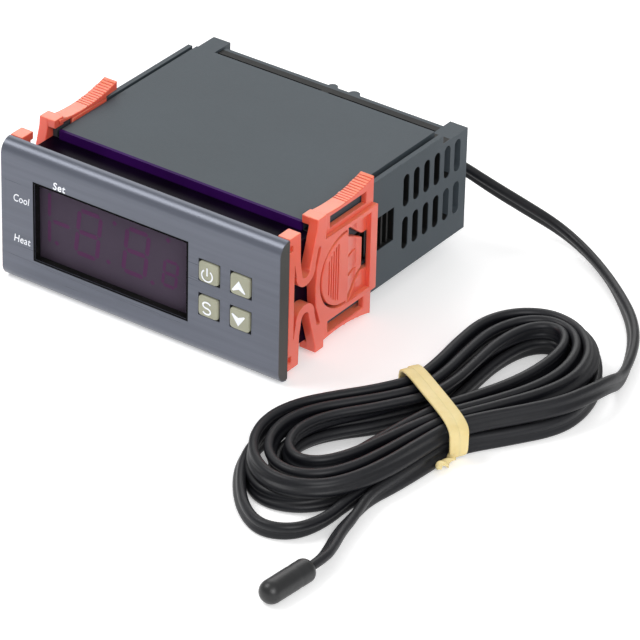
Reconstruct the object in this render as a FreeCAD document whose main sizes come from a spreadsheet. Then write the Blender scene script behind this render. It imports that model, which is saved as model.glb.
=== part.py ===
import FreeCAD, Part
import math
import os
import re

Vector = FreeCAD.Vector
doc = FreeCAD.newDocument("temperature_controller")

# Driving dimensions in millimetres. Depths run back from the bezel's front face and heights up from its lower
# edge. Widths spread out from the middle unless their name says otherwise.
SIZES = {
    # Bezel, its film and the window
    "bezel_wide": 75.0,
    "bezel_high": 34.5,
    "bezel_deep": 3.5,
    "bezel_round": 3.2,
    "bezel_wall": 1.8,
    "film_thick": 0.25,
    "window_wide": 41.35,
    "window_tall": 18.9,
    "window_shift": -7.6,
    "window_flange": 1.2,
    "window_thick": 0.8,
    # Buttons and the switches that they press
    "button_wide": 5.4,
    "button_tall": 5.2,
    "button_gap": 0.17,
    "button_round": 1.0,
    "button_proud": 0.55,
    "button_travel": 0.35,
    "button_left": 19.15,
    "button_step_across": 8.35,
    "button_step_up": 8.45,
    "button_lip": 0.6,
    "stem_radius": 1.4,
    "plunger_radius": 1.7,
    "plunger_fit": 0.05,
    "switch_wide": 6.0,
    "switch_deep": 3.5,
    # Housing, from the tinted collar back
    "housing_wide": 70.0,
    "housing_low": 4.5,
    "housing_tall": 25.4,
    "wall": 1.8,
    "depth_all": 74.1,
    "collar_end": 15.1,
    "collar_wall": 1.6,
    "lip_thick": 0.8,
    "plateau_wide": 65.3,
    "plateau_tall": 2.4,
    "rail_wide": 1.15,
    "rail_tall": 2.1,
    "rail_end": 64.4,
    "corner_wide": 4.7,
    "shelf_wide": 2.4,
    # Side vents and the ratchet rack
    "vent_first": 50.45,
    "vent_pitch": 3.96,
    "vent_wide": 2.3,
    "vent_tall": 8.0,
    "vent_low": 9.9,
    "vent_row_step": 10.7,
    "rack_first": 18.9,
    "rack_end": 46.0,
    "rack_tall": 8.3,
    "rib_pitch": 2.1,
    "rib_thick": 0.6,
    "rib_drop": 0.6,
    # Rear cover and terminals
    "trough_front": 67.8,
    "trough_wide": 1.4,
    "cover_thick": 2.9,
    "cover_drop": 0.5,
    "cover_gap": 0.1,
    "tongue_left": 1.2,
    "tongue_right": 0.7,
    "hook_radius": 1.2,
    "boss_across": 5.6,
    "boss_radius": 1.4,
    "snap_tall": 3.6,
    "terminal_pitch": 6.35,
    "terminal_left": -26.5,
    "terminal_tall": 17.0,
    "terminal_deep": 13.0,
    "screw_radius": 1.9,
    "well_radius": 2.2,
    "well_deep": 2.6,
    "entry_wide": 3.8,
    "entry_deep": 7.0,
    # Boards and what they carry
    "board_thick": 1.6,
    "board_gap": 0.1,
    "main_board_front": 20.0,
    "main_board_back": 66.5,
    "display_board_front": 9.6,
    "display_wide": 38.5,
    "display_tall": 17.2,
    "display_face": 2.9,
    "segment_thick": 0.2,
    "digit_gap": 1.7,
    "digit_tall": 12.0,
    "digit_lean": 0.12,
    "segment_wide": 1.5,
    "lamp_room": 3.0,
    "lamp_radius": 0.6,
    # The chip, the header and the power parts on the main board
    "chip_wide": 14.4,
    "chip_tall": 4.8,
    "chip_low": 20.8,
    "header_wide": 25.6,
    "header_step": 3.2,
    "power_front": 29.6,
    "core_left": -28.8,
    "core_wide": 27.0,
    "core_deep": 19.2,
    "core_tall": 16.0,
    "core_leg": 4.5,
    "core_yoke": 3.2,
    "coil_gap": 0.3,
    "coil_proud": 3.2,
    "relay_left": 3.2,
    "relay_wide": 16.8,
    "relay_deep": 16.0,
    "relay_tall": 15.2,
    "can_across": 27.2,
    "capacitor_back": 34.4,
    "capacitor_radius": 4.0,
    "capacitor_tall": 12.8,
    "buzzer_back": 47.2,
    "buzzer_radius": 5.6,
    "buzzer_tall": 8.0,
    "buzzer_hole": 1.0,
    "disc_across": 8.0,
    "disc_front": 24.2,
    "disc_radius": 5.6,
    "disc_thick": 2.9,
    # Sliding clips
    "clip_long": 32.5,
    "clip_half": 16.3,
    "clip_gap": 0.15,
    "clip_thick": 2.45,
    "strip_thick": 1.8,
    "hook_long": 3.9,
    "hook_reach": 4.6,
    "hook_short": 1.3,
    "hook_half": 14.4,
    "bend_back": 6.0,
    "bend_half": 5.75,
    "bend_radius": 3.4,
    "bend_drop": 0.7,
    "bend_rise": 0.3,
    "spring_thick": 2.0,
    "spring_lean": 0.2,
    "slit_half": 9.1,
    "slit_wide": 1.2,
    "plate_front": 9.6,
    "plate_lean": 1.9,
    "plate_curve": 0.4,
    "lump_gap": 0.5,
    "lump_long": 3.1,
    "lump_half": 16.45,
    "plate_half": 10.5,
    "grip_thick": 1.5,
    "grip_half": 17.15,
    "grip_front": 16.2,
    "grip_hollow": 1.75,
    "grip_short": 0.5,
    "grip_floor": 0.6,
    "slot_first": 15.9,
    "slot_long": 13.3,
    "slot_half_low": 11.6,
    "slot_half_high": 14.45,
    "tab_thick": 0.8,
    "tab_half": 12.0,
    "tab_short": 1.1,
    "tooth_first": 0.9,
    "tooth_pitch": 0.85,
    "tooth_deep": 0.3,
    "disc_back": 20.4,
    "groove_radius": 8.8,
    "groove_wide": 0.6,
    "groove_start": 0.7,
    "pad_radius": 7.4,
    "pad_flat": 18.2,
    "pad_deep": 0.4,
    "pocket_first": 21.6,
    "pocket_long": 8.4,
    "pocket_half": 9.3,
    "pocket_deep": 1.2,
    "undercut": 1.4,
    "head_long": 6.8,
    "head_root": 7.3,
    "head_tip": 3.6,
    "head_gap": 1.0,
    "catch_back": 2.9,
    "catch_long": 2.0,
    "catch_half": 3.0,
    "ramp_long": 4.6,
    "ramp_slot": 0.8,
    "ramp_half": 2.4,
    "mark_long": 1.2,
    "mark_wide": 1.6,
    "mark_edge": 1.8,
    # Probe lead, its hank and the probe
    "cord_wide": 4.2,
    "exit_across": 19.0,
    "exit_up": 16.0,
    "grommet_radius": 3.4,
    "hank_tall": 9.0,
    "band_wide": 4.3,
    "band_thick": 0.8,
    "band_span": 24.0,
    "probe_radius": 2.6,
    "probe_long": 20.5,
}
VENT_COLUMNS = 6
TERMINALS = 6
CLIP_RIBS = 5
GRIP_TEETH = 12

sheet = doc.addObject("Spreadsheet::Sheet", "Sizes")
for row, (alias, amount) in enumerate(SIZES.items(), start=1):
    sheet.set(f"A{row}", str(amount))
    sheet.setAlias(f"A{row}", alias)
doc.recompute()


def size(alias):
    """A driving dimension, read from the sheet."""
    return float(sheet.get(alias))


def bound(text):
    """An expression on the sheet's cells, from a formula written with the bare names."""
    return re.sub(r"[a-z_]{2,}", lambda name: "Sizes." + name[0], text)


# Places that several pieces share, as formulas on the driving dimensions
ORIGIN_BACK = "(depth_all - button_proud) / 2"
BEZEL_MID = "bezel_high / 2"
HOUSING_TOP = "(housing_low + housing_tall)"
SHELF_TOP = "(housing_low + rail_tall + wall)"
COVER_FRONT = "(trough_front + trough_wide)"
COVER_BACK = "(trough_front + trough_wide + cover_thick)"
COVER_HALF = "(housing_wide / 2 - corner_wide - cover_gap)"
DISPLAY_BOARD_BACK = "(display_board_front + board_thick)"
BOARD_TOP = "(housing_low + rail_tall + wall + board_thick)"

pieces = []


def piece(made, label):
    """Names a finished sub-part and moves it so that the origin is under the middle of the controller."""
    made.Label = label
    own = "0"
    for path, text in made.ExpressionEngine:
        if path.endswith("Placement.Base.y"):
            own = text
    made.setExpression("Placement.Base.y", f"{own} - {bound(ORIGIN_BACK)}")
    pieces.append(made)
    return made


def block(name, across, back, up):
    """A box between two planes along each axis, each given as a formula."""
    made = doc.addObject("Part::Box", name)
    for length, axis, (low, high) in zip(("Length", "Width", "Height"), "xyz", (across, back, up)):
        made.setExpression(length, bound(f"({high}) - ({low})"))
        made.setExpression("Placement.Base." + axis, bound(low))
    return made


def rod(name, turn, across, back, up, radius, length):
    """A cylinder from a point, along +Z, or turned to run along another axis."""
    made = doc.addObject("Part::Cylinder", name)
    made.Placement = FreeCAD.Placement(Vector(0, 0, 0), turn)
    for axis, place in zip("xyz", (across, back, up)):
        made.setExpression("Placement.Base." + axis, bound(place))
    made.setExpression("Radius", bound(radius))
    made.setExpression("Height", bound(length))
    return made


UPRIGHT = FreeCAD.Rotation()
BACKWARD = FreeCAD.Rotation(Vector(1, 0, 0), -90)


def joined(name, *parts):
    """One solid from several that overlap or touch."""
    made = doc.addObject("Part::MultiFuse", name)
    made.Shapes = list(parts)
    made.Refine = True
    return made


def group(name, *parts):
    """Separate solids kept together in one sub-part."""
    made = doc.addObject("Part::Compound", name)
    made.Links = list(parts)
    return made


def cut(name, base, *tools):
    """The first solid less the others."""
    made = doc.addObject("Part::Cut", name)
    made.Base = base
    made.Tool = tools[0] if len(tools) == 1 else joined(name + "_tools", *tools)
    made.Refine = True
    return made


def loop(start, *steps):
    """A closed outline: each step is a point for a straight edge, or a middle and an end point for an arc."""
    edges = []
    here = start
    for step in steps + (start,):
        if len(step) == 4:
            middle, there = step[:2], step[2:]
            edges.append(Part.Arc(Vector(*here, 0), Vector(*middle, 0), Vector(*there, 0)))
        else:
            there = step
            if math.dist(here, there) > 1e-6:
                edges.append(Part.LineSegment(Vector(*here, 0), Vector(*there, 0)))
        here = there
    return edges


def rectangle(left, right, low, high):
    """A rectangle's outline in its sketch."""
    return loop((left, low), (right, low), (right, high), (left, high))


def sketch(body, name, role, shift, edges):
    """A sketch on one of the body's own origin planes, moved along the plane's normal."""
    made = body.newObject("Sketcher::SketchObject", name)
    plane = next(feature for feature in body.Origin.OriginFeatures if feature.Role == role)
    made.AttachmentSupport = (plane, "")
    made.MapMode = "FlatFace"
    made.setExpression("AttachmentOffset.Base.z", bound(shift))
    made.addGeometry(edges, False)
    return made


def pad(body, profile, length, backward=False):
    """Material from a sketch, along its normal or against it."""
    made = body.newObject("PartDesign::Pad", profile.Name + "_pad")
    made.Profile = profile
    made.Reversed = backward
    made.setExpression("Length", bound(length))
    return made


def pocket(body, profile, length, forward=False):
    """A cut from a sketch, against its normal or along it."""
    made = body.newObject("PartDesign::Pocket", profile.Name + "_pocket")
    made.Profile = profile
    made.Reversed = forward
    made.setExpression("Length", bound(length))
    return made


def mirrored(edges):
    """The same outline on the other side of the sketch's first axis."""
    flip = FreeCAD.Matrix(1, 0, 0, 0, 0, -1, 0, 0, 0, 0, 1, 0, 0, 0, 0, 1)
    copies = []
    for edge in edges:
        other = edge.copy()
        other.transform(flip)
        copies.append(other)
    return copies


def lifted(edges, rise):
    """The same outline moved along the sketch's second axis."""
    for edge in edges:
        edge.translate(Vector(0, rise, 0))
    return edges


# The four buttons: name, column from the left and row from the bottom
BUTTONS = (("power", 0, 1), ("up", 1, 1), ("set", 0, 0), ("down", 1, 0))


def button_place(column, row):
    """The formulas for a button's middle, across and up."""
    across = f"(button_left + button_step_across * {column})"
    up = f"({BEZEL_MID} + button_step_up * ({row} - 0.5))"
    return across, up


def button_centre(column, row):
    """The same middle as two lengths."""
    across = size("button_left") + size("button_step_across") * column
    up = size("bezel_high") / 2 + size("button_step_up") * (row - 0.5)
    return across, up


def front_openings():
    """Outlines of the window and the four button holes, seen from the front."""
    middle = size("bezel_high") / 2
    half_wide = size("window_wide") / 2
    half_tall = size("window_tall") / 2
    shift = size("window_shift")
    edges = rectangle(shift - half_wide, shift + half_wide, middle - half_tall, middle + half_tall)
    hole_wide = size("button_wide") / 2 + size("button_gap")
    hole_tall = size("button_tall") / 2 + size("button_gap")
    for name, column, row in BUTTONS:
        across, up = button_centre(column, row)
        edges += rectangle(across - hole_wide, across + hole_wide, up - hole_tall, up + hole_tall)
    return edges


def front_section(inset):
    """The bezel's side view: flat front with rounded upper and lower edges, inset by the film if asked."""
    deep = size("bezel_deep")
    top = size("bezel_high") - inset
    radius = size("bezel_round") - inset
    centre = inset + radius
    near = radius * math.sqrt(0.5)
    return [
        (deep, inset),
        (centre, inset),
        (centre - near, centre - near, inset, centre),
        (inset, top - radius),
        (centre - near, top - radius + near, centre, top),
        (deep, top),
    ]


def make_bezel():
    """The bezel moulding: window and button holes through its face, hollow behind."""
    body = doc.addObject("PartDesign::Body", "bezel")
    outline = loop(*front_section(size("film_thick")))
    section = sketch(body, "bezel_section", "YZ_Plane", "-bezel_wide / 2", outline)
    pad(body, section, "bezel_wide")
    openings = sketch(body, "bezel_openings", "XZ_Plane", "0", front_openings())
    pocket(body, openings, "bezel_deep")
    half = size("housing_wide") / 2 - size("collar_wall")
    low = size("housing_low") + size("collar_wall")
    high = size("housing_low") + size("housing_tall") - size("collar_wall")
    hollow = sketch(body, "bezel_hollow", "XZ_Plane", "-bezel_wall", rectangle(-half, half, low, high))
    pocket(body, hollow, "bezel_deep")
    return piece(body, "front_bezel")


def make_film():
    """The printed film that wraps the bezel's face and both rounded edges."""
    body = doc.addObject("PartDesign::Body", "film")
    outer = front_section(0.0)[1:-1]
    inner = front_section(size("film_thick"))[1:-1]
    edges = loop(
        outer[0], outer[1], outer[2], outer[3],
        inner[3][2:],
        (*inner[3][:2], *inner[2]),
        inner[1][2:],
        (*inner[1][:2], *inner[0]),
    )
    section = sketch(body, "film_section", "YZ_Plane", "-bezel_wide / 2", edges)
    pad(body, section, "bezel_wide")
    openings = sketch(body, "film_openings", "XZ_Plane", "0", front_openings())
    pocket(body, openings, "bezel_deep")
    return piece(body, "front_overlay")


def make_window():
    """The smoked lens: it fills the opening and a flange behind the bezel's face holds it."""
    half = "window_wide / 2 - film_thick / 4"
    tall = "window_tall / 2 - film_thick / 4"
    face = block("lens_face", (f"window_shift - ({half})", f"window_shift + ({half})"),
                 ("film_thick / 4", "bezel_wall + window_thick / 2"),
                 (f"{BEZEL_MID} - ({tall})", f"{BEZEL_MID} + ({tall})"))
    wide_half = f"({half} + window_flange)"
    tall_half = f"({tall} + window_flange)"
    flange = block("lens_flange", (f"window_shift - {wide_half}", f"window_shift + {wide_half}"),
                   ("bezel_wall", "bezel_wall + window_thick"),
                   (f"{BEZEL_MID} - {tall_half}", f"{BEZEL_MID} + {tall_half}"))
    return piece(joined("lens", face, flange), "display_window")


def make_button(name, column, row):
    """A cap with a retaining lip and stem, and the switch plunger that moves with it."""
    across, up = button_centre(column, row)
    across_text, up_text = button_place(column, row)
    body = doc.addObject("PartDesign::Body", name + "_cap")
    half_wide = size("button_wide") / 2
    half_tall = size("button_tall") / 2
    corner = size("button_round")
    near = corner * (1 - math.sqrt(0.5))
    left, right, low, high = across - half_wide, across + half_wide, up - half_tall, up + half_tall
    edges = loop(
        (left + corner, low),
        (right - corner, low),
        (right - near, low + near, right, low + corner),
        (right, high - corner),
        (right - near, high - near, right - corner, high),
        (left + corner, high),
        (left + near, high - near, left, high - corner),
        (left, low + corner),
        (left + near, low + near, left + corner, low),
    )
    cap = sketch(body, name + "_cap_outline", "XZ_Plane", "button_proud", edges)
    pad(body, cap, "button_proud + bezel_wall + film_thick", backward=True)
    lip = size("button_lip")
    wide = rectangle(left - lip, right + lip, low - lip, high + lip)
    flange = sketch(body, name + "_cap_lip", "XZ_Plane", "-(bezel_wall + film_thick / 2)", wide)
    pad(body, flange, "button_lip", backward=True)
    circle = [Part.Circle(Vector(across, up, 0), Vector(0, 0, 1), size("stem_radius"))]
    stem = sketch(body, name + "_stem", "XZ_Plane", "-(bezel_wall + film_thick / 2)", circle)
    plunger_front = "(display_board_front - switch_deep * 4 / 3)"
    pad(body, stem, f"{plunger_front} - bezel_wall - film_thick / 2", backward=True)
    piece(body, name + "_button")
    plunger = rod(name + "_plunger_rod", BACKWARD, across_text, plunger_front, up_text,
                  "plunger_radius", "switch_deep * 2 / 3")
    piece(plunger, name + "_plunger")


def make_switches():
    """Four square switches on the display board, each with a bore for its plunger."""
    made = []
    for name, column, row in BUTTONS:
        across, up = button_place(column, row)
        case = block(name + "_switch_case", (f"{across} - switch_wide / 2", f"{across} + switch_wide / 2"),
                     ("display_board_front - switch_deep", "display_board_front"),
                     (f"{up} - switch_wide / 2", f"{up} + switch_wide / 2"))
        bore = rod(name + "_switch_bore", BACKWARD, across, "display_board_front - switch_deep", up,
                   "plunger_radius + plunger_fit", "switch_deep / 3 + button_travel * 2")
        made.append(cut(name + "_switch", case, bore))
    return piece(group("switches", *made), "tact_switches")


def make_collar():
    """The tinted collar between the bezel and the housing, with the upright lip before the raised top."""
    outer = block("collar_outer", ("-housing_wide / 2", "housing_wide / 2"), ("bezel_deep", "collar_end"),
                  ("housing_low", HOUSING_TOP))
    inner = block("collar_inner", ("-housing_wide / 2 + collar_wall", "housing_wide / 2 - collar_wall"),
                  ("bezel_deep", "collar_end"), ("housing_low + collar_wall", f"{HOUSING_TOP} - collar_wall"))
    lip = block("collar_lip", ("-plateau_wide / 2", "plateau_wide / 2"),
                ("collar_end - lip_thick", "collar_end"),
                (HOUSING_TOP, f"{HOUSING_TOP} + plateau_tall"))
    return piece(joined("collar", cut("collar_ring", outer, inner), lip), "tinted_collar")


def vent_edges():
    """Two rows of upright slots with round ends, in the side view."""
    edges = []
    half = size("vent_wide") / 2
    for row in range(2):
        low = size("vent_low") + size("vent_row_step") * row
        high = low + size("vent_tall")
        for column in range(VENT_COLUMNS):
            back = size("vent_first") + size("vent_pitch") * column
            edges += loop((back - half, low + half), (back, low, back + half, low + half),
                          (back + half, high - half), (back, high, back - half, high - half))
    return edges


def rack_gaps(middle):
    """The gaps between the rack's ribs, in the side view."""
    edges = []
    half = size("rack_tall") / 2
    back = size("rack_end")
    while back - size("rib_pitch") > size("rack_first") - size("rib_thick"):
        front = back - size("rib_pitch") + size("rib_thick")
        edges += rectangle(front, back, middle - half, middle + half)
        back -= size("rib_pitch")
    return edges


def make_housing():
    """The long housing: one shell with a raised top, two grooved rails a side, vents and the clips' racks."""
    body = doc.addObject("PartDesign::Body", "housing_shell")
    half = size("housing_wide") / 2
    low = size("housing_low")
    top = low + size("housing_tall")
    rail = half - size("rail_wide")
    raised = size("plateau_wide") / 2
    groove = low + size("rail_tall")
    right_side = [
        (raised, low), (raised, groove), (rail, groove), (rail, low), (half, low),
        (half, top + size("rail_tall")), (rail, top + size("rail_tall")), (rail, top), (raised, top),
        (raised, top + size("plateau_tall")),
    ]
    left_side = [(-across, up) for across, up in reversed(right_side)]
    front = sketch(body, "housing_section", "XZ_Plane", "-collar_end", loop(*right_side, *left_side))
    pad(body, front, "rail_end - collar_end", backward=True)
    rear = sketch(body, "housing_rear", "XZ_Plane", "-rail_end", rectangle(-half, half, low, top))
    pad(body, rear, "depth_all - rail_end", backward=True)

    wall = size("wall")
    shelf = half - wall - size("shelf_wide")
    floor = groove + wall
    room = loop(
        (-shelf, low + wall), (shelf, low + wall), (shelf, floor), (half - wall, floor),
        (half - wall, top - wall), (shelf, top - wall), (shelf, top + size("plateau_tall") - wall),
        (-shelf, top + size("plateau_tall") - wall), (-shelf, top - wall), (-half + wall, top - wall),
        (-half + wall, floor), (-shelf, floor),
    )
    cavity = sketch(body, "housing_room", "XZ_Plane", "-collar_end", room)
    pocket(body, cavity, "rail_end - wall - collar_end")
    inside = half - size("corner_wide")
    passage = sketch(body, "housing_passage", "XZ_Plane", "-(rail_end - wall)",
                     rectangle(-inside, inside, low + wall, top - wall))
    pocket(body, passage, "depth_all - rail_end + wall")
    mouth = sketch(body, "housing_mouth", "XZ_Plane", "-trough_front",
                   rectangle(-inside, inside, low + wall, top + wall))
    pocket(body, mouth, "depth_all - trough_front")

    middle = low + (size("housing_tall") + size("rail_tall")) / 2
    rack_half = size("rack_tall") / 2
    rack = rectangle(size("rack_first"), size("rack_end"), middle - rack_half, middle + rack_half)
    for side, plane, forward in (("right", "housing_wide / 2", False), ("left", "-housing_wide / 2", True)):
        vents = sketch(body, side + "_vents", "YZ_Plane", plane, vent_edges())
        pocket(body, vents, "wall", forward)
        face = sketch(body, side + "_rack", "YZ_Plane", plane, rack)
        pocket(body, face, "rib_drop", forward)
        gaps = sketch(body, side + "_rack_gaps", "YZ_Plane", plane, rack_gaps(middle))
        pocket(body, gaps, "wall", forward)
    return piece(body, "housing")


def make_rear_cover():
    """The cover behind the trough, with its terminal opening and lead hole, held by a tongue and a boss."""
    top = f"{HOUSING_TOP} - cover_drop"
    floor = "housing_low + wall + cover_gap"
    plate = block("cover_plate", (f"-{COVER_HALF}", COVER_HALF), (COVER_FRONT, COVER_BACK), (floor, top))
    tongue = block("cover_tongue", ("-tongue_left", "tongue_right"), ("trough_front", COVER_BACK),
                   (f"{top} - trough_wide", top))
    hook = rod("cover_hook", UPRIGHT, "(tongue_right - tongue_left) / 2", COVER_BACK, f"{top} - snap_tall",
               "hook_radius", "snap_tall")
    boss = rod("cover_boss", UPRIGHT, "boss_across", COVER_BACK, f"{top} - snap_tall", "boss_radius",
               "snap_tall")
    opening = block("cover_opening",
                    ("terminal_left - cover_gap",
                     f"terminal_left + terminal_pitch * {TERMINALS} + cover_gap"),
                    (COVER_FRONT, COVER_BACK + " + trough_wide * 2"),
                    (floor + " + wall / 2", f"{BOARD_TOP} + terminal_tall + cover_gap"))
    hole = rod("cover_hole", BACKWARD, "exit_across", COVER_FRONT, "exit_up", "grommet_radius", "cover_thick")
    solid = joined("cover_solid", plate, tongue, hook, boss)
    return piece(cut("cover", solid, opening, hole), "rear_cover")


def make_terminals():
    """The terminal block with its screw wells over square wire entries, and one screw in each well."""
    back = f"({COVER_BACK} - cover_gap)"
    case = block("terminal_case", ("terminal_left", f"terminal_left + terminal_pitch * {TERMINALS}"),
                 (f"{back} - terminal_deep", back), (BOARD_TOP, f"{BOARD_TOP} + terminal_tall"))
    tools = []
    screws = []
    for index in range(TERMINALS):
        across = f"(terminal_left + terminal_pitch * {index + 0.5})"
        upper = f"({BOARD_TOP} + terminal_tall * 3 / 4)"
        lower = f"({BOARD_TOP} + terminal_tall / 3)"
        bottom = f"{back} - well_deep"
        tools.append(rod(f"well_{index}", BACKWARD, across, bottom, upper, "well_radius", "well_deep"))
        tools.append(block(f"entry_{index}", (f"{across} - entry_wide / 2", f"{across} + entry_wide / 2"),
                           (f"{back} - entry_deep", back),
                           (f"{lower} - entry_wide / 2", f"{lower} + entry_wide / 2")))
        head = rod(f"head_{index}", BACKWARD, across, bottom, upper, "screw_radius", "well_deep / 2")
        slot = block(f"slot_{index}", (f"{across} - screw_radius", f"{across} + screw_radius"),
                     (f"{back} - well_deep * 0.75", f"{back} - well_deep / 2"),
                     (f"{upper} - screw_radius / 6", f"{upper} + screw_radius / 6"))
        screws.append(cut(f"screw_{index}", head, slot))
    piece(cut("terminals", case, *tools), "terminal_block")
    piece(group("screws", *screws), "terminal_screws")


def make_display():
    """The display board with the digit module, its segments and the three status dots."""
    half = "housing_wide / 2 - collar_wall - board_gap"
    board = block("display_panel", (f"-({half})", half), ("display_board_front", DISPLAY_BOARD_BACK),
                  ("housing_low + collar_wall + board_gap", f"{HOUSING_TOP} - collar_wall - board_gap"))
    piece(board, "display_board")
    module = block("digit_module",
                   ("window_shift - display_wide / 2", "window_shift + display_wide / 2"),
                   ("display_face", "display_board_front"),
                   (f"{BEZEL_MID} - display_tall / 2", f"{BEZEL_MID} + display_tall / 2"))
    piece(module, "led_display")
    chip = block("controller_chip", ("-chip_wide / 2", "chip_wide / 2"),
                 (DISPLAY_BOARD_BACK, DISPLAY_BOARD_BACK + " + board_thick"), ("chip_low",
                                                                               "chip_low + chip_tall"))
    piece(chip, "microcontroller")


def bar(start, end, width):
    """A six-sided display segment between two points, before it leans."""
    along = Vector(end[0] - start[0], end[1] - start[1], 0)
    along.normalize()
    side = Vector(-along.y, along.x, 0) * (width / 2)
    tip = along * (width / 2)
    first = Vector(*start, 0)
    last = Vector(*end, 0)
    return [first, first + tip + side, last - tip + side, last, last - tip - side, first + tip - side]


def make_segments():
    """Four leaning digits of seven bars, and the points beside them, on the module's face."""
    pitch = (size("display_wide") - size("lamp_room")) / 4
    wide = pitch - size("digit_gap") - size("segment_wide")
    tall = size("digit_tall") - size("segment_wide")
    middle = size("bezel_high") / 2 + size("segment_wide") / 2
    gap = size("film_thick") / 2
    strokes = (((0, 0), (1, 0)), ((0, 1), (1, 1)), ((0, 2), (1, 2)),
               ((0, 0), (0, 1)), ((0, 1), (0, 2)), ((1, 0), (1, 1)), ((1, 1), (1, 2)))
    face = size("display_face")
    solids = []
    for index in range(4):
        centre = size("window_shift") + size("lamp_room") / 2 + (index - 1.5) * pitch
        for first, last in strokes:
            ends = []
            for point, other in ((first, last), (last, first)):
                inward = Vector(other[0] - point[0], other[1] - point[1], 0) * gap
                ends.append(((point[0] - 0.5) * wide + inward.x, (point[1] - 1) * tall / 2 + inward.y))
            corners = bar(ends[0], ends[1], size("segment_wide"))
            ring = [Vector(centre + p.x + p.y * size("digit_lean"), face, middle + p.y) for p in corners]
            wire = Part.makePolygon(ring + ring[:1])
            solids.append(Part.Face(wire).extrude(Vector(0, -size("segment_thick"), 0)))
    made = doc.addObject("Part::Feature", "segments")
    made.Shape = Part.Compound(solids)
    piece(made, "display_segments")
    dots = []
    left = size("window_shift") - size("display_wide") / 2 + size("lamp_room") / 2
    for index in range(3):
        up = size("bezel_high") / 2 + (index - 1) * size("display_tall") / 3
        centre = Vector(left, face, up)
        dots.append(Part.makeCylinder(size("lamp_radius"), size("segment_thick"), centre, Vector(0, -1, 0)))
    lamps = doc.addObject("Part::Feature", "lamps")
    lamps.Shape = Part.Compound(dots)
    piece(lamps, "status_lamps")


def make_main_board():
    """The main board on the housing's shelves, and the parts that stand on it."""
    half = "housing_wide / 2 - wall - board_gap"
    board = block("main_panel", (f"-({half})", half), ("main_board_front", "rail_end - wall - board_gap"),
                  (SHELF_TOP, BOARD_TOP))
    inside = "(housing_wide / 2 - corner_wide - board_gap)"
    tail = block("main_panel_tail", (f"-{inside}", inside), ("rail_end - wall - board_gap * 2",
                                                             "main_board_back"),
                 (SHELF_TOP, BOARD_TOP))
    piece(joined("main_panel_whole", board, tail), "main_board")
    link = block("header", ("-header_wide / 2", "header_wide / 2"),
                 (DISPLAY_BOARD_BACK, "main_board_front + header_step"), (BOARD_TOP,
                                                                          f"{BOARD_TOP} + header_step"))
    piece(link, "board_connector")


def make_power_parts():
    """What the main board carries: transformer, relay, capacitor, buzzer and surge disc."""
    deep = ("power_front", "power_front + core_deep")
    middle = "(core_left + core_wide / 2)"
    inner = (f"{BOARD_TOP} + core_yoke", f"{BOARD_TOP} + core_tall - core_yoke")
    core = block("core_stack", ("core_left", "core_left + core_wide"), deep,
                 (BOARD_TOP, f"{BOARD_TOP} + core_tall"))
    left = block("core_window_left", ("core_left + core_leg", f"{middle} - core_leg / 2"), deep, inner)
    right = block("core_window_right", (f"{middle} + core_leg / 2", "core_left + core_wide - core_leg"),
                  deep, inner)
    piece(cut("core", core, left, right), "transformer_core")
    coil = block("coil_body",
                 ("core_left + core_leg + coil_gap", "core_left + core_wide - core_leg - coil_gap"),
                 ("power_front - coil_proud", "power_front + core_deep + coil_proud"),
                 (inner[0] + " + coil_gap", inner[1] + " - coil_gap"))
    limb = block("coil_limb", (f"{middle} - core_leg / 2", f"{middle} + core_leg / 2"), deep, inner)
    piece(cut("coil", coil, limb), "transformer_winding")
    case = block("relay_case", ("relay_left", "relay_left + relay_wide"),
                 ("power_front", "power_front + relay_deep"),
                 (BOARD_TOP, f"{BOARD_TOP} + relay_tall"))
    piece(case, "relay")
    can = rod("capacitor_can", UPRIGHT, "can_across", "capacitor_back", BOARD_TOP, "capacitor_radius",
              "capacitor_tall")
    piece(can, "filter_capacitor")
    sounder = rod("buzzer_can", UPRIGHT, "can_across", "buzzer_back", BOARD_TOP, "buzzer_radius",
                  "buzzer_tall")
    hole = rod("buzzer_mouth", UPRIGHT, "can_across", "buzzer_back", f"{BOARD_TOP} + buzzer_tall / 2",
               "buzzer_hole", "buzzer_tall")
    piece(cut("buzzer_body", sounder, hole), "buzzer")
    disc = rod("surge_disc", BACKWARD, "disc_across", "disc_front", f"{BOARD_TOP} + disc_radius",
               "disc_radius", "disc_thick")
    piece(disc, "surge_disc")


def make_grommet():
    """The rubber ring that holds the lead in the rear cover."""
    ring = rod("grommet_ring", BACKWARD, "exit_across", COVER_FRONT, "exit_up",
               "grommet_radius - cover_gap / 2", "cover_thick")
    piece(ring, "cord_grommet")


def clip_hollow():
    """The upper grip's outer edge: three points of an arc that sags between the lump and the rear corner."""
    front = size("bezel_deep") + size("plate_front") + size("plate_lean")
    back = size("bezel_deep") + size("clip_long") - size("grip_short")
    sag = size("grip_half") - size("grip_hollow")
    return (front, size("grip_front")), ((front + back) / 2, sag), (back, size("grip_half"))


def both_halves(upper):
    """A half outline above the sketch's first axis, run back again below it."""
    lower = []
    for index in range(len(upper) - 1, -1, -1):
        across, up = upper[index][-2:]
        following = upper[index + 1] if index + 1 < len(upper) else ()
        if len(following) == 4:
            lower.append((following[0], -following[1], across, -up))
        else:
            lower.append((across, -up))
    return upper + lower


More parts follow.
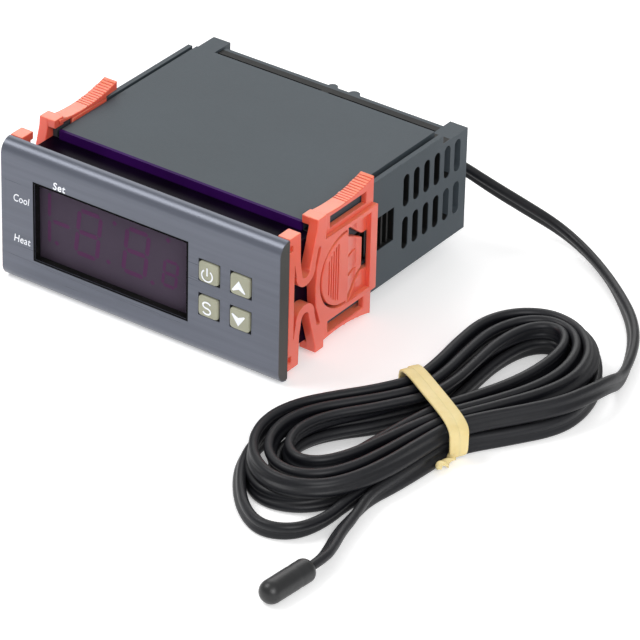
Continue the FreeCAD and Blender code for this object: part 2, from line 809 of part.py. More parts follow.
def clip_outline():
    """The clip's proud plate in the side view: end strip, two V springs, disc plate and its four feet."""
    front = size("bezel_deep")
    hook = front + size("hook_long")
    high = size("clip_half")
    lump = front + size("plate_front") + size("lump_gap")
    lump_back = lump + size("lump_long")
    end = front + size("clip_long")
    plate = size("plate_half")
    bend = front + size("bend_back")
    bend_up = size("bend_half")
    inner = size("bend_radius") - size("spring_thick")
    return loop(*both_halves([
        (front, high), (hook, high), (hook + size("spring_lean"), bend_up + size("bend_radius")),
        (bend - inner, bend_up), (bend, bend_up - inner, bend + inner, bend_up),
        (lump - size("spring_lean"), high - size("spring_thick")),
        (lump, size("lump_half")), (lump_back, size("lump_half")), (lump_back, plate), (end, plate),
    ]))


def clip_void():
    """The opening between the end strip, both springs and the disc plate, with the slits beside each leg."""
    front = size("bezel_deep")
    strip = front + size("strip_thick")
    bend = front + size("bend_back")
    bend_up = size("bend_half")
    radius = size("bend_radius")
    slit = size("slit_half")
    slit_wide = size("slit_wide")
    plate = front + size("plate_front")
    tip = plate + size("plate_lean")
    near = radius * math.sqrt(0.5)
    leg_foot = bend_up + size("bend_rise")
    return loop((plate, 0.0), *both_halves([
        (plate + size("plate_curve"), bend_up - size("bend_drop")), (tip, slit),
        (tip - slit_wide / 2, slit + slit_wide / 2, tip - slit_wide, slit), (bend + radius, leg_foot),
        (bend + near, bend_up - near, bend, bend_up - radius),
        (bend - near, bend_up - near, bend - radius, leg_foot), (strip + size("spring_lean"), slit),
        (strip, slit),
    ]))


def cut_pad(body, outer, middle):
    """The C-shaped slot round the ribbed finger pad, and the pad's ribs."""
    front = size("bezel_deep")
    centre = front + size("disc_back")
    start = centre + size("groove_start")
    inside = size("groove_radius") - size("groove_wide") / 2
    outside = size("groove_radius") + size("groove_wide") / 2
    groove = loop(
        (start, inside), (centre, inside), (centre - inside, 0, centre, -inside), (start, -inside),
        (start, -outside), (centre, -outside), (centre - outside, 0, centre, outside), (start, outside),
    )
    through = sketch(body, "clip_groove", "YZ_Plane", outer, lifted(groove, middle))
    pocket(body, through, "clip_thick")
    ribs = []
    for index in range(CLIP_RIBS):
        near = front + size("pad_flat") - size("tooth_pitch") * (index + 0.5)
        half = math.sqrt(size("pad_radius") ** 2 - (centre - near) ** 2)
        ribs += rectangle(near, near + size("tooth_pitch") / 2, -half, half)
    ribbed = sketch(body, "clip_ribs", "YZ_Plane", outer, lifted(ribs, middle))
    pocket(body, ribbed, "pad_deep")


def cut_latch(body, outer, middle):
    """The sunk field behind the pad, its slotted ramp, and the opening round the tapered latch head."""
    start = size("bezel_deep") + size("pocket_first")
    end = start + size("pocket_long")
    head = start + size("head_long")
    edge = size("pocket_half")
    tip = size("head_tip")
    gap = size("head_gap")
    well = sketch(body, "clip_pocket", "YZ_Plane", outer, lifted(rectangle(start, end, -edge, edge), middle))
    pocket(body, well, "pocket_deep")
    floor = size("housing_wide") / 2 + size("clip_gap") + size("clip_thick") - size("pocket_deep")
    top = floor + size("pocket_deep")
    half = size("ramp_half")
    slot = size("ramp_slot") / 2
    slope = loop((floor, start), (top, start), (floor, start + size("ramp_long")))
    bars = ((-edge, -half - slot), (slot - half, half - slot), (half + slot, edge))
    for index, (low, high) in enumerate(bars):
        ramp = sketch(body, f"clip_ramp_{index}", "XY_Plane", str(middle + low), slope)
        pad(body, ramp, str(high - low))
    slant = start + size("groove_wide")
    shoulder = head - size("spring_lean")
    window = loop(
        (start, size("head_root")), (head, tip), (head, -tip), (start, -size("head_root")),
        (start, -edge), (slant, -edge), (shoulder, -tip - gap), (end, -tip - gap),
        (end, tip + gap), (shoulder, tip + gap), (slant, edge), (start, edge),
    )
    opening = sketch(body, "clip_window", "YZ_Plane", outer, lifted(window, middle))
    pocket(body, opening, "clip_thick")
    behind = rectangle(head, end + size("undercut"), -tip - gap, tip + gap)
    relief = sketch(body, "clip_relief", "YZ_Plane", "housing_wide / 2 + clip_gap", lifted(behind, middle))
    pocket(body, relief, "clip_thick - pocket_deep", forward=True)


def cut_grips(body, outer, middle):
    """The two small pockets in the end strip, and the teeth along the hollow of each grip."""
    front = size("bezel_deep")
    mark_high = size("clip_half") - size("mark_edge")
    marks = rectangle(front, front + size("mark_long"), mark_high - size("mark_wide"), mark_high)
    ends = sketch(body, "clip_end_pockets", "YZ_Plane", outer, lifted(marks + mirrored(marks), middle))
    pocket(body, ends, "pad_deep * 2")
    first, halfway, last = clip_hollow()
    curve = Part.Circle(Vector(*first, 0), Vector(*halfway, 0), Vector(*last, 0))
    notch = size("tooth_pitch") / 3
    teeth = []
    for index in range(GRIP_TEETH):
        back = last[0] - size("tooth_first") - size("tooth_pitch") * index
        surface = curve.Center.y - math.sqrt(curve.Radius ** 2 - (back - curve.Center.x) ** 2)
        teeth += loop((back - notch, surface + size("tooth_deep")), (back, surface - size("tooth_deep")),
                      (back + notch, surface + size("tooth_deep")))
    serration = sketch(body, "clip_serration", "YZ_Plane", outer, lifted(teeth + mirrored(teeth), middle))
    pocket(body, serration, "hook_reach")


def make_clips():
    """The sliding panel clip, one piece: V springs, ribbed pad, latch head and grips."""
    body = doc.addObject("PartDesign::Body", "clip")
    middle = size("housing_low") + (size("housing_tall") + size("rail_tall")) / 2
    front = size("bezel_deep")
    inner = "housing_wide / 2 + clip_gap"
    outer = "housing_wide / 2 + clip_gap + clip_thick"
    reach = "housing_wide / 2 + clip_gap + clip_thick - hook_reach"

    plate = sketch(body, "clip_plate", "YZ_Plane", inner, lifted(clip_outline() + clip_void(), middle))
    pad(body, plate, "clip_thick")

    first, halfway, last = clip_hollow()
    low = size("plate_half") - size("plate_curve")
    ring = loop((first[0], low), first, (*halfway, *last), (last[0], low))
    slot = front + size("slot_first")
    ring += rectangle(slot, slot + size("slot_long"), size("slot_half_low"), size("slot_half_high"))
    grips = sketch(body, "clip_grips", "YZ_Plane", inner, lifted(ring + mirrored(ring), middle))
    pad(body, grips, "grip_thick")

    tab_end = slot + size("slot_long") - size("tab_short")
    under = size("slot_half_high")
    over = under + size("grip_floor")
    arm = loop(first, (*halfway, *last), (last[0], over), (tab_end, over),
               (tab_end, under), (slot, under), (slot, over), (first[0], over))
    arms = sketch(body, "clip_arms", "YZ_Plane", reach, lifted(arm + mirrored(arm), middle))
    pad(body, arms, "hook_reach - clip_thick + grip_thick")

    tab = rectangle(slot, tab_end, size("tab_half"), (under + over) / 2)
    rail_gap = "(housing_wide / 2 - rail_wide - plateau_wide / 2)"
    tabs = sketch(body, "clip_tabs", "YZ_Plane", f"plateau_wide / 2 + ({rail_gap} - tab_thick) / 2",
                  lifted(tab + mirrored(tab), middle))
    pad(body, tabs, "tab_thick")

    lump = front + size("plate_front") + size("lump_gap")
    foot = rectangle(lump, lump + size("lump_long"), size("hook_half"), size("lump_half"))
    feet = sketch(body, "clip_feet", "YZ_Plane", reach + " + film_thick",
                  lifted(foot + mirrored(foot), middle))
    pad(body, feet, "hook_reach - film_thick")
    toe = rectangle(front, front + size("hook_long"), size("hook_half"), size("clip_half"))
    toes = sketch(body, "clip_toes", "YZ_Plane", reach + " + hook_short",
                  lifted(toe + mirrored(toe), middle))
    pad(body, toes, "hook_reach - hook_short")

    cut_pad(body, outer, middle)
    cut_latch(body, outer, middle)
    cut_grips(body, outer, middle)
    catch_back = front + size("pocket_first") + size("head_long") - size("catch_back")
    half = size("catch_half")
    catch = rectangle(catch_back, catch_back + size("catch_long"), -half, half)
    latch = sketch(body, "clip_latch", "YZ_Plane", inner, lifted(catch, middle))
    pad(body, latch, "(clip_gap + rib_drop) * 0.8", backward=True)
    piece(body, "right_clip")
    other = doc.addObject("Part::Mirroring", "clip_mirror")
    other.Source = body
    other.Normal = Vector(1, 0, 0)
    other.Base = Vector(0, 0, 0)
    other.Label = "left_clip"
    pieces.append(other)


# The lead from the grommet to its hank, then from the hank to the probe, as points chosen along its way.
# It starts at the middle of the grommet.
LEAD = (
    (19.0, 72.1, 16.0), (20.0, 79.5, 15.9), (26.5, 83.6, 13.6), (35.5, 84.4, 10.4), (44.0, 85.5, 7.6),
    (53.0, 86.6, 4.6), (62.0, 84.0, 2.8), (70.5, 78.9, 2.1), (78.0, 72.6, 2.1), (84.6, 66.2, 2.1),
    (89.7, 59.2, 2.1), (93.4, 51.4, 2.1), (96.0, 43.6, 2.1),
)
TAIL = ((79.4, -26.0, 2.1), (80.9, -33.5, 2.1), (82.3, -40.6, 2.2), (84.2, -46.0, 2.4), (85.4, -50.6, 2.6))
# The hank's edge as it lies: the long loops, the waist under the band, and the short loops
HANK = (
    (98.4, 31.0), (96.5, 41.5), (90.5, 49.5), (83.5, 54.0), (75.0, 56.3), (67.0, 55.0), (61.5, 48.5),
    (60.4, 39.5), (63.0, 28.0), (64.5, 18.0), (62.5, 9.5), (57.0, 1.5), (50.0, -6.5), (46.3, -14.0),
    (45.8, -23.0), (49.0, -33.0), (54.5, -41.5), (61.0, -47.5), (69.0, -49.8), (75.0, -47.6),
    (77.0, -40.0), (79.0, -30.0), (80.6, -18.0), (82.0, -7.0), (84.2, 3.5), (89.5, 12.5), (95.5, 20.5),
)
BAND_CENTRE = (73.1, 5.9)
BAND_TURN = -31.7
PROBE_LIES = (-1.95, -20.4, 0.0)


def tube(name, points):
    """A round lead along straight runs joined by the largest even arcs, with each bend's radius printed."""
    places = [Vector(*point) for point in points]
    edges = []
    here = places[0]
    radii = []
    for before, corner, after in zip(places, places[1:], places[2:]):
        back = (before - corner).normalize()
        ahead = (after - corner).normalize()
        half_turn = (math.pi - back.getAngle(ahead)) / 2
        reach = 0.45 * min(corner.distanceToPoint(before), corner.distanceToPoint(after))
        radius = reach / math.tan(half_turn)
        radii.append(round(radius, 1))
        start = corner + back * reach
        finish = corner + ahead * reach
        inward = (back + ahead).normalize()
        middle = corner + inward * (radius / math.cos(half_turn) - radius)
        edges.append(Part.LineSegment(here, start).toShape())
        edges.append(Part.Arc(start, middle, finish).toShape())
        here = finish
    edges.append(Part.LineSegment(here, places[-1]).toShape())
    route = Part.Wire(edges)
    radius = size("cord_wide") / 2
    section = Part.Wire(Part.Circle(places[0], places[1] - places[0], radius).toShape())
    solid = route.makePipeShell([section], True, True)
    share = solid.Volume / (math.pi * radius ** 2 * route.Length)
    print(name, "length", round(route.Length, 1), "radii", radii, "volume ratio", round(share, 4))
    made = doc.addObject("Part::Feature", name)
    made.Shape = solid
    return piece(made, name)


def band_frame(wide, long):
    """The band round the hank's waist. With a length beyond it, the space squeezed out of the hank."""
    thick = size("band_thick")
    half = size("band_span") / 2
    tall = size("hank_tall")
    outer = Part.makeBox(2 * (half + thick + long), wide, tall + 2 * (thick + long) - thick,
                         Vector(-half - thick - long, -wide / 2, -long))
    inner = Part.makeBox(2 * half, wide, tall - thick, Vector(-half, -wide / 2, thick))
    along = [edge for edge in inner.Edges if abs(edge.tangentAt(edge.FirstParameter).y) > 0.9]
    inner = inner.makeFillet(tall / 3, along)
    if not long:
        along = [edge for edge in outer.Edges if abs(edge.tangentAt(edge.FirstParameter).y) > 0.9]
        outer = outer.makeFillet(tall / 3 + thick, along)
    frame = outer.cut(inner)
    frame.rotate(Vector(0, 0, 0), Vector(0, 0, 1), BAND_TURN)
    frame.translate(Vector(*BAND_CENTRE, 0))
    return frame


def make_hank():
    """The coiled lead's outer shape, drawn in at the waist by its band."""
    edge = Part.BSplineCurve()
    edge.interpolate(Points=[Vector(*point, 0) for point in HANK], PeriodicFlag=True)
    block_of_turns = Part.Face(Part.Wire(edge.toShape())).extrude(Vector(0, 0, size("hank_tall")))
    top = [rim for rim in block_of_turns.Edges if rim.BoundBox.ZMin > size("hank_tall") / 2]
    rounded = block_of_turns.makeFillet(size("hank_tall") / 3, top)
    hank = doc.addObject("Part::Feature", "hank")
    hank.Shape = rounded.cut(band_frame(size("band_wide"), size("band_span")))
    piece(hank, "cord_hank")
    band = doc.addObject("Part::Feature", "band")
    band.Shape = band_frame(size("band_wide"), 0)
    piece(band, "rubber_band")


def make_probe():
    """The moulded capsule at the lead's end, lying on the surface."""
    first = Vector(*TAIL[-1])
    ahead = Vector(*PROBE_LIES).normalize()
    radius = size("probe_radius")
    last = first + ahead * (size("probe_long") - 2 * radius)
    shape = Part.makeCylinder(radius, size("probe_long") - 2 * radius, first, ahead)
    for end in (first, last):
        shape = shape.fuse(Part.makeSphere(radius, end))
    made = doc.addObject("Part::Feature", "probe")
    made.Shape = shape.removeSplitter()
    piece(made, "sensor_probe")


make_bezel()
make_film()
make_window()
for button_name, button_column, button_row in BUTTONS:
    make_button(button_name, button_column, button_row)
make_switches()
make_collar()
make_housing()
make_rear_cover()
make_terminals()
make_display()
make_segments()
make_main_board()
make_power_parts()
make_grommet()
make_clips()
tube("probe_cord", LEAD)
tube("probe_cord_tail", TAIL)
make_hank()
make_probe()

doc.recompute()
for made in doc.Objects:
    trouble = {"Invalid", "Error"} & set(made.State)
    if trouble:
        raise RuntimeError(f"{made.Label} is {made.State}")
for made in pieces:
    if made.Shape.isNull() or not made.Shape.isValid():
        raise RuntimeError(f"{made.Label} has no sound shape")
os.makedirs("parts", exist_ok=True)
for made in pieces:
    made.Shape.exportStep(f"parts/{made.Label}.step")
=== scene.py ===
import bmesh
import bpy
import numpy
from mathutils import Matrix


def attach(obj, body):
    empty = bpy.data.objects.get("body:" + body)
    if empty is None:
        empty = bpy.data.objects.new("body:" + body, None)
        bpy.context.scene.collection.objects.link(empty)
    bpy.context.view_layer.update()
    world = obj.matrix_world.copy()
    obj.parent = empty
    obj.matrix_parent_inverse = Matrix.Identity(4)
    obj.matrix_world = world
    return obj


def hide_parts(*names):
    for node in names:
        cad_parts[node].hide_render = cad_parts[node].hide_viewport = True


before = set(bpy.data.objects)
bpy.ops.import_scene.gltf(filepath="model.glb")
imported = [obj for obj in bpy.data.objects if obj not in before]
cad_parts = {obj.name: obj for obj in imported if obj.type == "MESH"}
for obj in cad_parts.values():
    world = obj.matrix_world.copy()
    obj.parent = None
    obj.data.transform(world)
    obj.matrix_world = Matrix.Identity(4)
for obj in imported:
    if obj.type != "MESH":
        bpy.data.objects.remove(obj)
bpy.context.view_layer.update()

# The camera that took the photograph, fitted to the bezel, housing and clips.
# It stands about a metre away with a long lens, to the right of the front and above it.
photographer = bpy.data.cameras.new("photo_camera")
photographer.sensor_width = 36.0
photographer.lens = 262.92
photographer.clip_end = 20.0
camera = bpy.data.objects.new("photo_camera", photographer)
bpy.context.scene.collection.objects.link(camera)
RIGHT = (0.812919, 0.581975, 0.021630)
UP = (-0.316225, 0.409913, 0.855554)
BACK = (0.489045, -0.702336, 0.517261)
STANDS = (0.526975, -0.724520, 0.527042)
camera_rows = [(RIGHT[row], UP[row], BACK[row], STANDS[row]) for row in range(3)]
camera.matrix_world = Matrix(camera_rows + [(0, 0, 0, 1)])
bpy.context.scene.camera = camera

# The studio: a pale table that glows a little, as a product table lit from below does, in an even white
# room. Soft wide panels stand over the right of the front, over the left and behind, so the table casts
# hardly a shadow.
floor_mesh = bpy.data.meshes.new("floor")
FLOOR = 3.0
floor_mesh.from_pydata([(-FLOOR, -FLOOR, 0), (FLOOR, -FLOOR, 0), (FLOOR, FLOOR, 0), (-FLOOR, FLOOR, 0)],
                       [], [(0, 1, 2, 3)])
floor = bpy.data.objects.new("floor", floor_mesh)
bpy.context.scene.collection.objects.link(floor)
floor_paper = bpy.data.materials.new("floor_paper")
floor_paper.use_nodes = True
paper = floor_paper.node_tree.nodes["Principled BSDF"]
paper.inputs["Base Color"].default_value = (0.93, 0.93, 0.93, 1)
paper.inputs["Roughness"].default_value = 0.9
paper.inputs["Specular IOR Level"].default_value = 0.1
paper.inputs["Emission Color"].default_value = (1.0, 1.0, 1.0, 1)
paper.inputs["Emission Strength"].default_value = 0.32
floor_mesh.materials.append(floor_paper)
room = bpy.data.worlds.new("studio")
room.use_nodes = True
room.node_tree.nodes["Background"].inputs["Color"].default_value = (1.0, 1.0, 1.0, 1)
room.node_tree.nodes["Background"].inputs["Strength"].default_value = 0.5
bpy.context.scene.world = room
bpy.context.scene.view_settings.view_transform = "Standard"
for name, place, aim, wide, power in (
    ("right_panel", (0.8, -0.6, 0.6), (0.0, 0.0, 0.0), 0.6, 6.5),
    ("left_panel", (-0.5, -0.35, 0.9), (0.0, 0.0, 0.0), 0.45, 4.5),
    ("rear_panel", (-0.5, 0.75, 0.65), (0.03, 0.0, 0.0), 0.8, 4.0),
):
    light = bpy.data.lights.new(name, "AREA")
    light.size = wide
    light.energy = power
    lamp = bpy.data.objects.new(name, light)
    bpy.context.scene.collection.objects.link(lamp)
    away = (Matrix.Translation(place).translation - Matrix.Translation(aim).translation)
    lamp.matrix_world = Matrix.Translation(place) @ away.to_track_quat("Z", "Y").to_matrix().to_4x4()

# The sensor's lead: a flat twin flex of soft dark rubber, 4.2 mm across its two cores and 2.1 mm thick.
# It leaves a rubber ring in the rear cover, comes round the side to the floor, is wound by hand into a hank
# of seven turns drawn in at the waist by a rubber band, and runs on to the moulded probe.
FLEX_WIDE = 0.0042
FLEX_THICK = 0.0021
LEAD = (
    (0.019, 0.035325, 0.016), (0.02, 0.042725, 0.0159), (0.0265, 0.046825, 0.0136),
    (0.0355, 0.047625, 0.0104), (0.044, 0.048725, 0.0076), (0.053, 0.049825, 0.0046),
    (0.062, 0.047225, 0.0028), (0.0705, 0.042125, 0.0021), (0.078, 0.035825, 0.0021),
    (0.0846, 0.029425, 0.0021), (0.0897, 0.022425, 0.0021), (0.0934, 0.014625, 0.0021),
    (0.096, 0.006825, 0.0021),
)
# Onto the hank, over its outermost strand
ENTRY = (
    (0.0972, 0.000425, 0.005), (0.0972, -0.007175, 0.0063), (0.095, -0.015175, 0.0064),
    (0.09, -0.023175, 0.0064), (0.0852, -0.030175, 0.0064),
)
# The outer and inner sides of the bundle, and the loose last turn, at the same 25 places round the hank:
# down the right of the waist, round the near lobe, up the left of the waist and round the far lobe
EDGE = (
    (0.0819, -0.036275), (0.0809, -0.045775), (0.0802, -0.055275), (0.0783, -0.064275), (0.0745, -0.071575),
    (0.0683, -0.075575), (0.0613, -0.075775), (0.0546, -0.072075), (0.0497, -0.065375), (0.0476, -0.057075),
    (0.0493, -0.048775), (0.054, -0.041375), (0.0593, -0.034475), (0.0643, -0.025475), (0.0639, -0.016275),
    (0.0626, -0.006275), (0.0622, 0.003725), (0.0662, 0.011125), (0.073, 0.015325), (0.0807, 0.014725),
    (0.0872, 0.010825), (0.0922, 0.005225), (0.095, -0.003775), (0.0934, -0.013175), (0.0882, -0.023875),
)
HEART = (
    (0.0745, -0.031675), (0.0723, -0.040275), (0.071, -0.048775), (0.07, -0.056775), (0.0673, -0.063275),
    (0.0633, -0.065775), (0.0593, -0.064475), (0.057, -0.060775), (0.0563, -0.056275), (0.0574, -0.051275),
    (0.0603, -0.046275), (0.0643, -0.041275), (0.0679, -0.035775), (0.0717, -0.030075), (0.0726, -0.021775),
    (0.0716, -0.012275), (0.0708, -0.003275), (0.0719, 0.005225), (0.075, 0.009825), (0.0792, 0.010225),
    (0.0824, 0.006225), (0.0835, -0.000275), (0.083, -0.007775), (0.0813, -0.015275), (0.0783, -0.023275),
)
LOOSE = (
    (0.0796, -0.034775), (0.079, -0.044775), (0.078, -0.055275), (0.0769, -0.065775), (0.0772, -0.075275),
    (0.0748, -0.082375), (0.0686, -0.085375), (0.062, -0.082175), (0.0554, -0.075175), (0.05, -0.066375),
    (0.0482, -0.056775), (0.0508, -0.046775), (0.0576, -0.036375), (0.0643, -0.025475), (0.0637, -0.016275),
    (0.0622, -0.006275), (0.0619, 0.003725), (0.0646, 0.013225), (0.0716, 0.018225), (0.08, 0.016425),
    (0.0868, 0.011625), (0.0928, 0.003625), (0.096, -0.006775), (0.0956, -0.015975), (0.0899, -0.025175),
)
# Each turn's share of the way from EDGE to HEART, then its height in millimetres, at the right of the waist,
# the near lobe, the left of the waist and the far lobe
TURNS = (
    (0.02, 0.18, 0.17, 0.15, 6.3, 5.6, 6.3, 6.2),
    (0.30, 0.60, 0.50, 0.50, 6.3, 5.6, 6.3, 6.0),
    (0.58, 1.12, 0.84, 1.05, 6.3, 5.4, 6.3, 5.8),
    (0.86, 1.15, 1.00, 1.08, 6.3, 2.3, 2.1, 2.1),
    (0.95, 0.72, 0.67, 0.84, 2.1, 2.1, 2.1, 2.1),
    (0.65, 0.02, 0.33, 0.25, 2.1, 2.1, 2.1, 2.1),
)
OUT = ((0.0819, -0.036275, 0.0021), (0.0813, -0.045775, 0.0021), (0.0804, -0.055275, 0.0021))
TAIL = (
    (0.0794, -0.062775, 0.0021), (0.0809, -0.070275, 0.0021), (0.0823, -0.077375, 0.0022),
    (0.0842, -0.082775, 0.0024), (0.0854, -0.087375, 0.0026), (0.084858, -0.09305, 0.0026),
)
WAIST_RIGHT, NEAR_LOBE, WAIST_LEFT, FAR_LOBE, ROUND = 0, 6, 13, 19, 25


def tint(code, strength=1.0):
    """A colour given as six hexadecimal digits of screen red, green and blue, in the light values that
    nodes use."""
    screen = numpy.array([int(code[at:at + 2], 16) / 255 for at in (1, 3, 5)])
    light = numpy.where(screen <= 0.04045, screen / 12.92, ((screen + 0.055) / 1.055) ** 2.4)
    return (*(light * strength), 1.0)


def put_mesh(name, corners, faces, smooth=True):
    """A new piece from corners in metres and faces as rows of corner numbers."""
    mesh = bpy.data.meshes.new(name)
    mesh.from_pydata(numpy.asarray(corners).tolist(), [], [list(face) for face in faces])
    mesh.update()
    mesh.polygons.foreach_set("use_smooth", [smooth] * len(mesh.polygons))
    made = bpy.data.objects.new(name, mesh)
    bpy.context.scene.collection.objects.link(made)
    return made


def skin(rings, close_ends=True, close_round=False):
    """Faces of a tube whose rings are rows of a (rings, points) grid: quads between neighbouring rings,
    with one many-sided face on each end ring, or the last ring joined to the first where the tube closes on
    itself."""
    count, points = rings
    row = numpy.arange(count if close_round else count - 1)[:, None]
    column = numpy.arange(points)[None, :]
    after = (row + 1) % count
    beside = (column + 1) % points
    quads = numpy.stack(numpy.broadcast_arrays(row * points + column, row * points + beside,
                                               after * points + beside, after * points + column), -1)
    faces = quads.reshape(-1, 4).tolist()
    if close_ends and not close_round:
        faces.append(list(range(points))[::-1])
        faces.append(list(range((count - 1) * points, count * points)))
    return faces


def follow_spline(name, points, steps):
    """Points in order along the smooth spline of order 3 that has these control points and meets both
    ends."""
    curve = bpy.data.curves.new(name, "CURVE")
    curve.dimensions = "3D"
    curve.resolution_u = steps
    spline = curve.splines.new("NURBS")
    spline.points.add(len(points) - 1)
    spline.points.foreach_set("co", numpy.column_stack([points, numpy.ones(len(points))]).ravel())
    spline.order_u = 3
    spline.use_endpoint_u = True
    holder = bpy.data.objects.new(name, curve)
    bpy.context.scene.collection.objects.link(holder)
    line = bpy.data.meshes.new_from_object(holder)
    found = numpy.empty(len(line.vertices) * 3)
    line.vertices.foreach_get("co", found)
    bpy.data.objects.remove(holder)
    bpy.data.curves.remove(curve)
    bpy.data.meshes.remove(line)
    found = found.reshape(-1, 3)
    moved = numpy.linalg.norm(numpy.diff(found, axis=0), axis=1) > 0.00001
    return found[numpy.concatenate([[True], moved])]


def across_path(path, lean):
    """At each point of a path, the direction of the flex's wide side and of its thin side: upright across the
    path, turned about it by the angle lean."""
    ahead = numpy.gradient(path, axis=0)
    ahead /= numpy.linalg.norm(ahead, axis=1)[:, None]
    side = numpy.cross(ahead, (0.0, 0.0, 1.0))
    side /= numpy.linalg.norm(side, axis=1)[:, None]
    upright = numpy.cross(side, ahead)
    cosine = numpy.cos(lean)[:, None]
    sine = numpy.sin(lean)[:, None]
    return upright * cosine + side * sine, side * cosine - upright * sine


def hank_turns():
    """The control points of the bundle's turns. At place p a turn stands share(p) of the way from EDGE to
    HEART, and share and height pass smoothly between the turn's four values and the next turn's first."""
    edge = numpy.array(EDGE)
    heart = numpy.array(HEART)
    places = numpy.arange(ROUND)
    marks = (WAIST_RIGHT, NEAR_LOBE, WAIST_LEFT, FAR_LOBE, ROUND)
    points = []
    following = TURNS[1:] + ((0.33, 0, 0, 0, 2.1, 0, 0, 0),)
    for turn, after in zip(TURNS, following):
        share = numpy.interp(places, marks, (*turn[:4], after[0]))[:, None]
        height = numpy.interp(places, marks, (*turn[4:], after[4])) / 1000
        points.append(numpy.column_stack([edge * (1 - share) + heart * share, height]))
    points.append(numpy.column_stack([numpy.array(LOOSE), numpy.full(ROUND, 0.0021)]))
    return numpy.concatenate(points)


route = numpy.concatenate([LEAD, ENTRY, hank_turns(), OUT, TAIL])
flex_path = follow_spline("flex_route", route, 8)
run = numpy.concatenate([[0.0], numpy.cumsum(numpy.linalg.norm(numpy.diff(flex_path, axis=0), axis=1))])
flex_long = float(run[-1])
# The flex turns a little as it goes, so that its groove shows in some strands and not in others
flex_lean = 0.25 + 0.38 * numpy.sin(run * 41 + 0.6) + 0.22 * numpy.sin(run * 97 + 2.0)
# Over its last stretch it eases to one lean, in which it enters the probe
END_RUN = 0.05
END_EASE = 0.03
END_LEAN = -0.75
at_end = numpy.clip((run - flex_long + END_RUN) / END_EASE, 0.0, 1.0)
flex_lean = flex_lean * (1 - at_end) + END_LEAN * at_end
wide_way, thin_way = across_path(flex_path, flex_lean)
# Its section is two round cores side by side, with a web between them that is a little over half as thick
WEB_SHARE = 0.55
turn_angle = numpy.linspace(0, 2 * numpy.pi, 28, endpoint=False)
half_wide = FLEX_WIDE / 2 * numpy.cos(turn_angle)
core = FLEX_THICK / 2
round_core = numpy.sqrt(numpy.maximum(core ** 2 - (numpy.abs(half_wide) - FLEX_WIDE / 4) ** 2, 0.0))
webbed = numpy.maximum(round_core, WEB_SHARE * core)
half_thin = numpy.where(numpy.abs(half_wide) < FLEX_WIDE / 4, webbed, round_core)
half_thin = half_thin * numpy.sign(numpy.sin(turn_angle))
rings = (flex_path[:, None] + wide_way[:, None] * half_wide[None, :, None]
         + thin_way[:, None] * half_thin[None, :, None])
rings[..., 2] = numpy.maximum(rings[..., 2], 0.00005)
probe_lead = put_mesh("probe_lead", rings.reshape(-1, 3), skin(rings.shape[:2]))
along = probe_lead.data.attributes.new("along", "FLOAT", "POINT")
along.data.foreach_set("value", numpy.repeat(run, len(turn_angle)))


def wire(tree, start, end):
    """Joins one node's output to another's input, each given as a node and a socket name or number."""
    tree.links.new(start[0].outputs[start[1]], end[0].inputs[end[1]])


def node(tree, kind, **values):
    """A shader node with its properties and its unlinked sockets set."""
    made = tree.nodes.new(kind)
    for name, value in values.items():
        if hasattr(made, name):
            setattr(made, name, value)
        else:
            made.inputs[name.replace("_", " ")].default_value = value
    return made


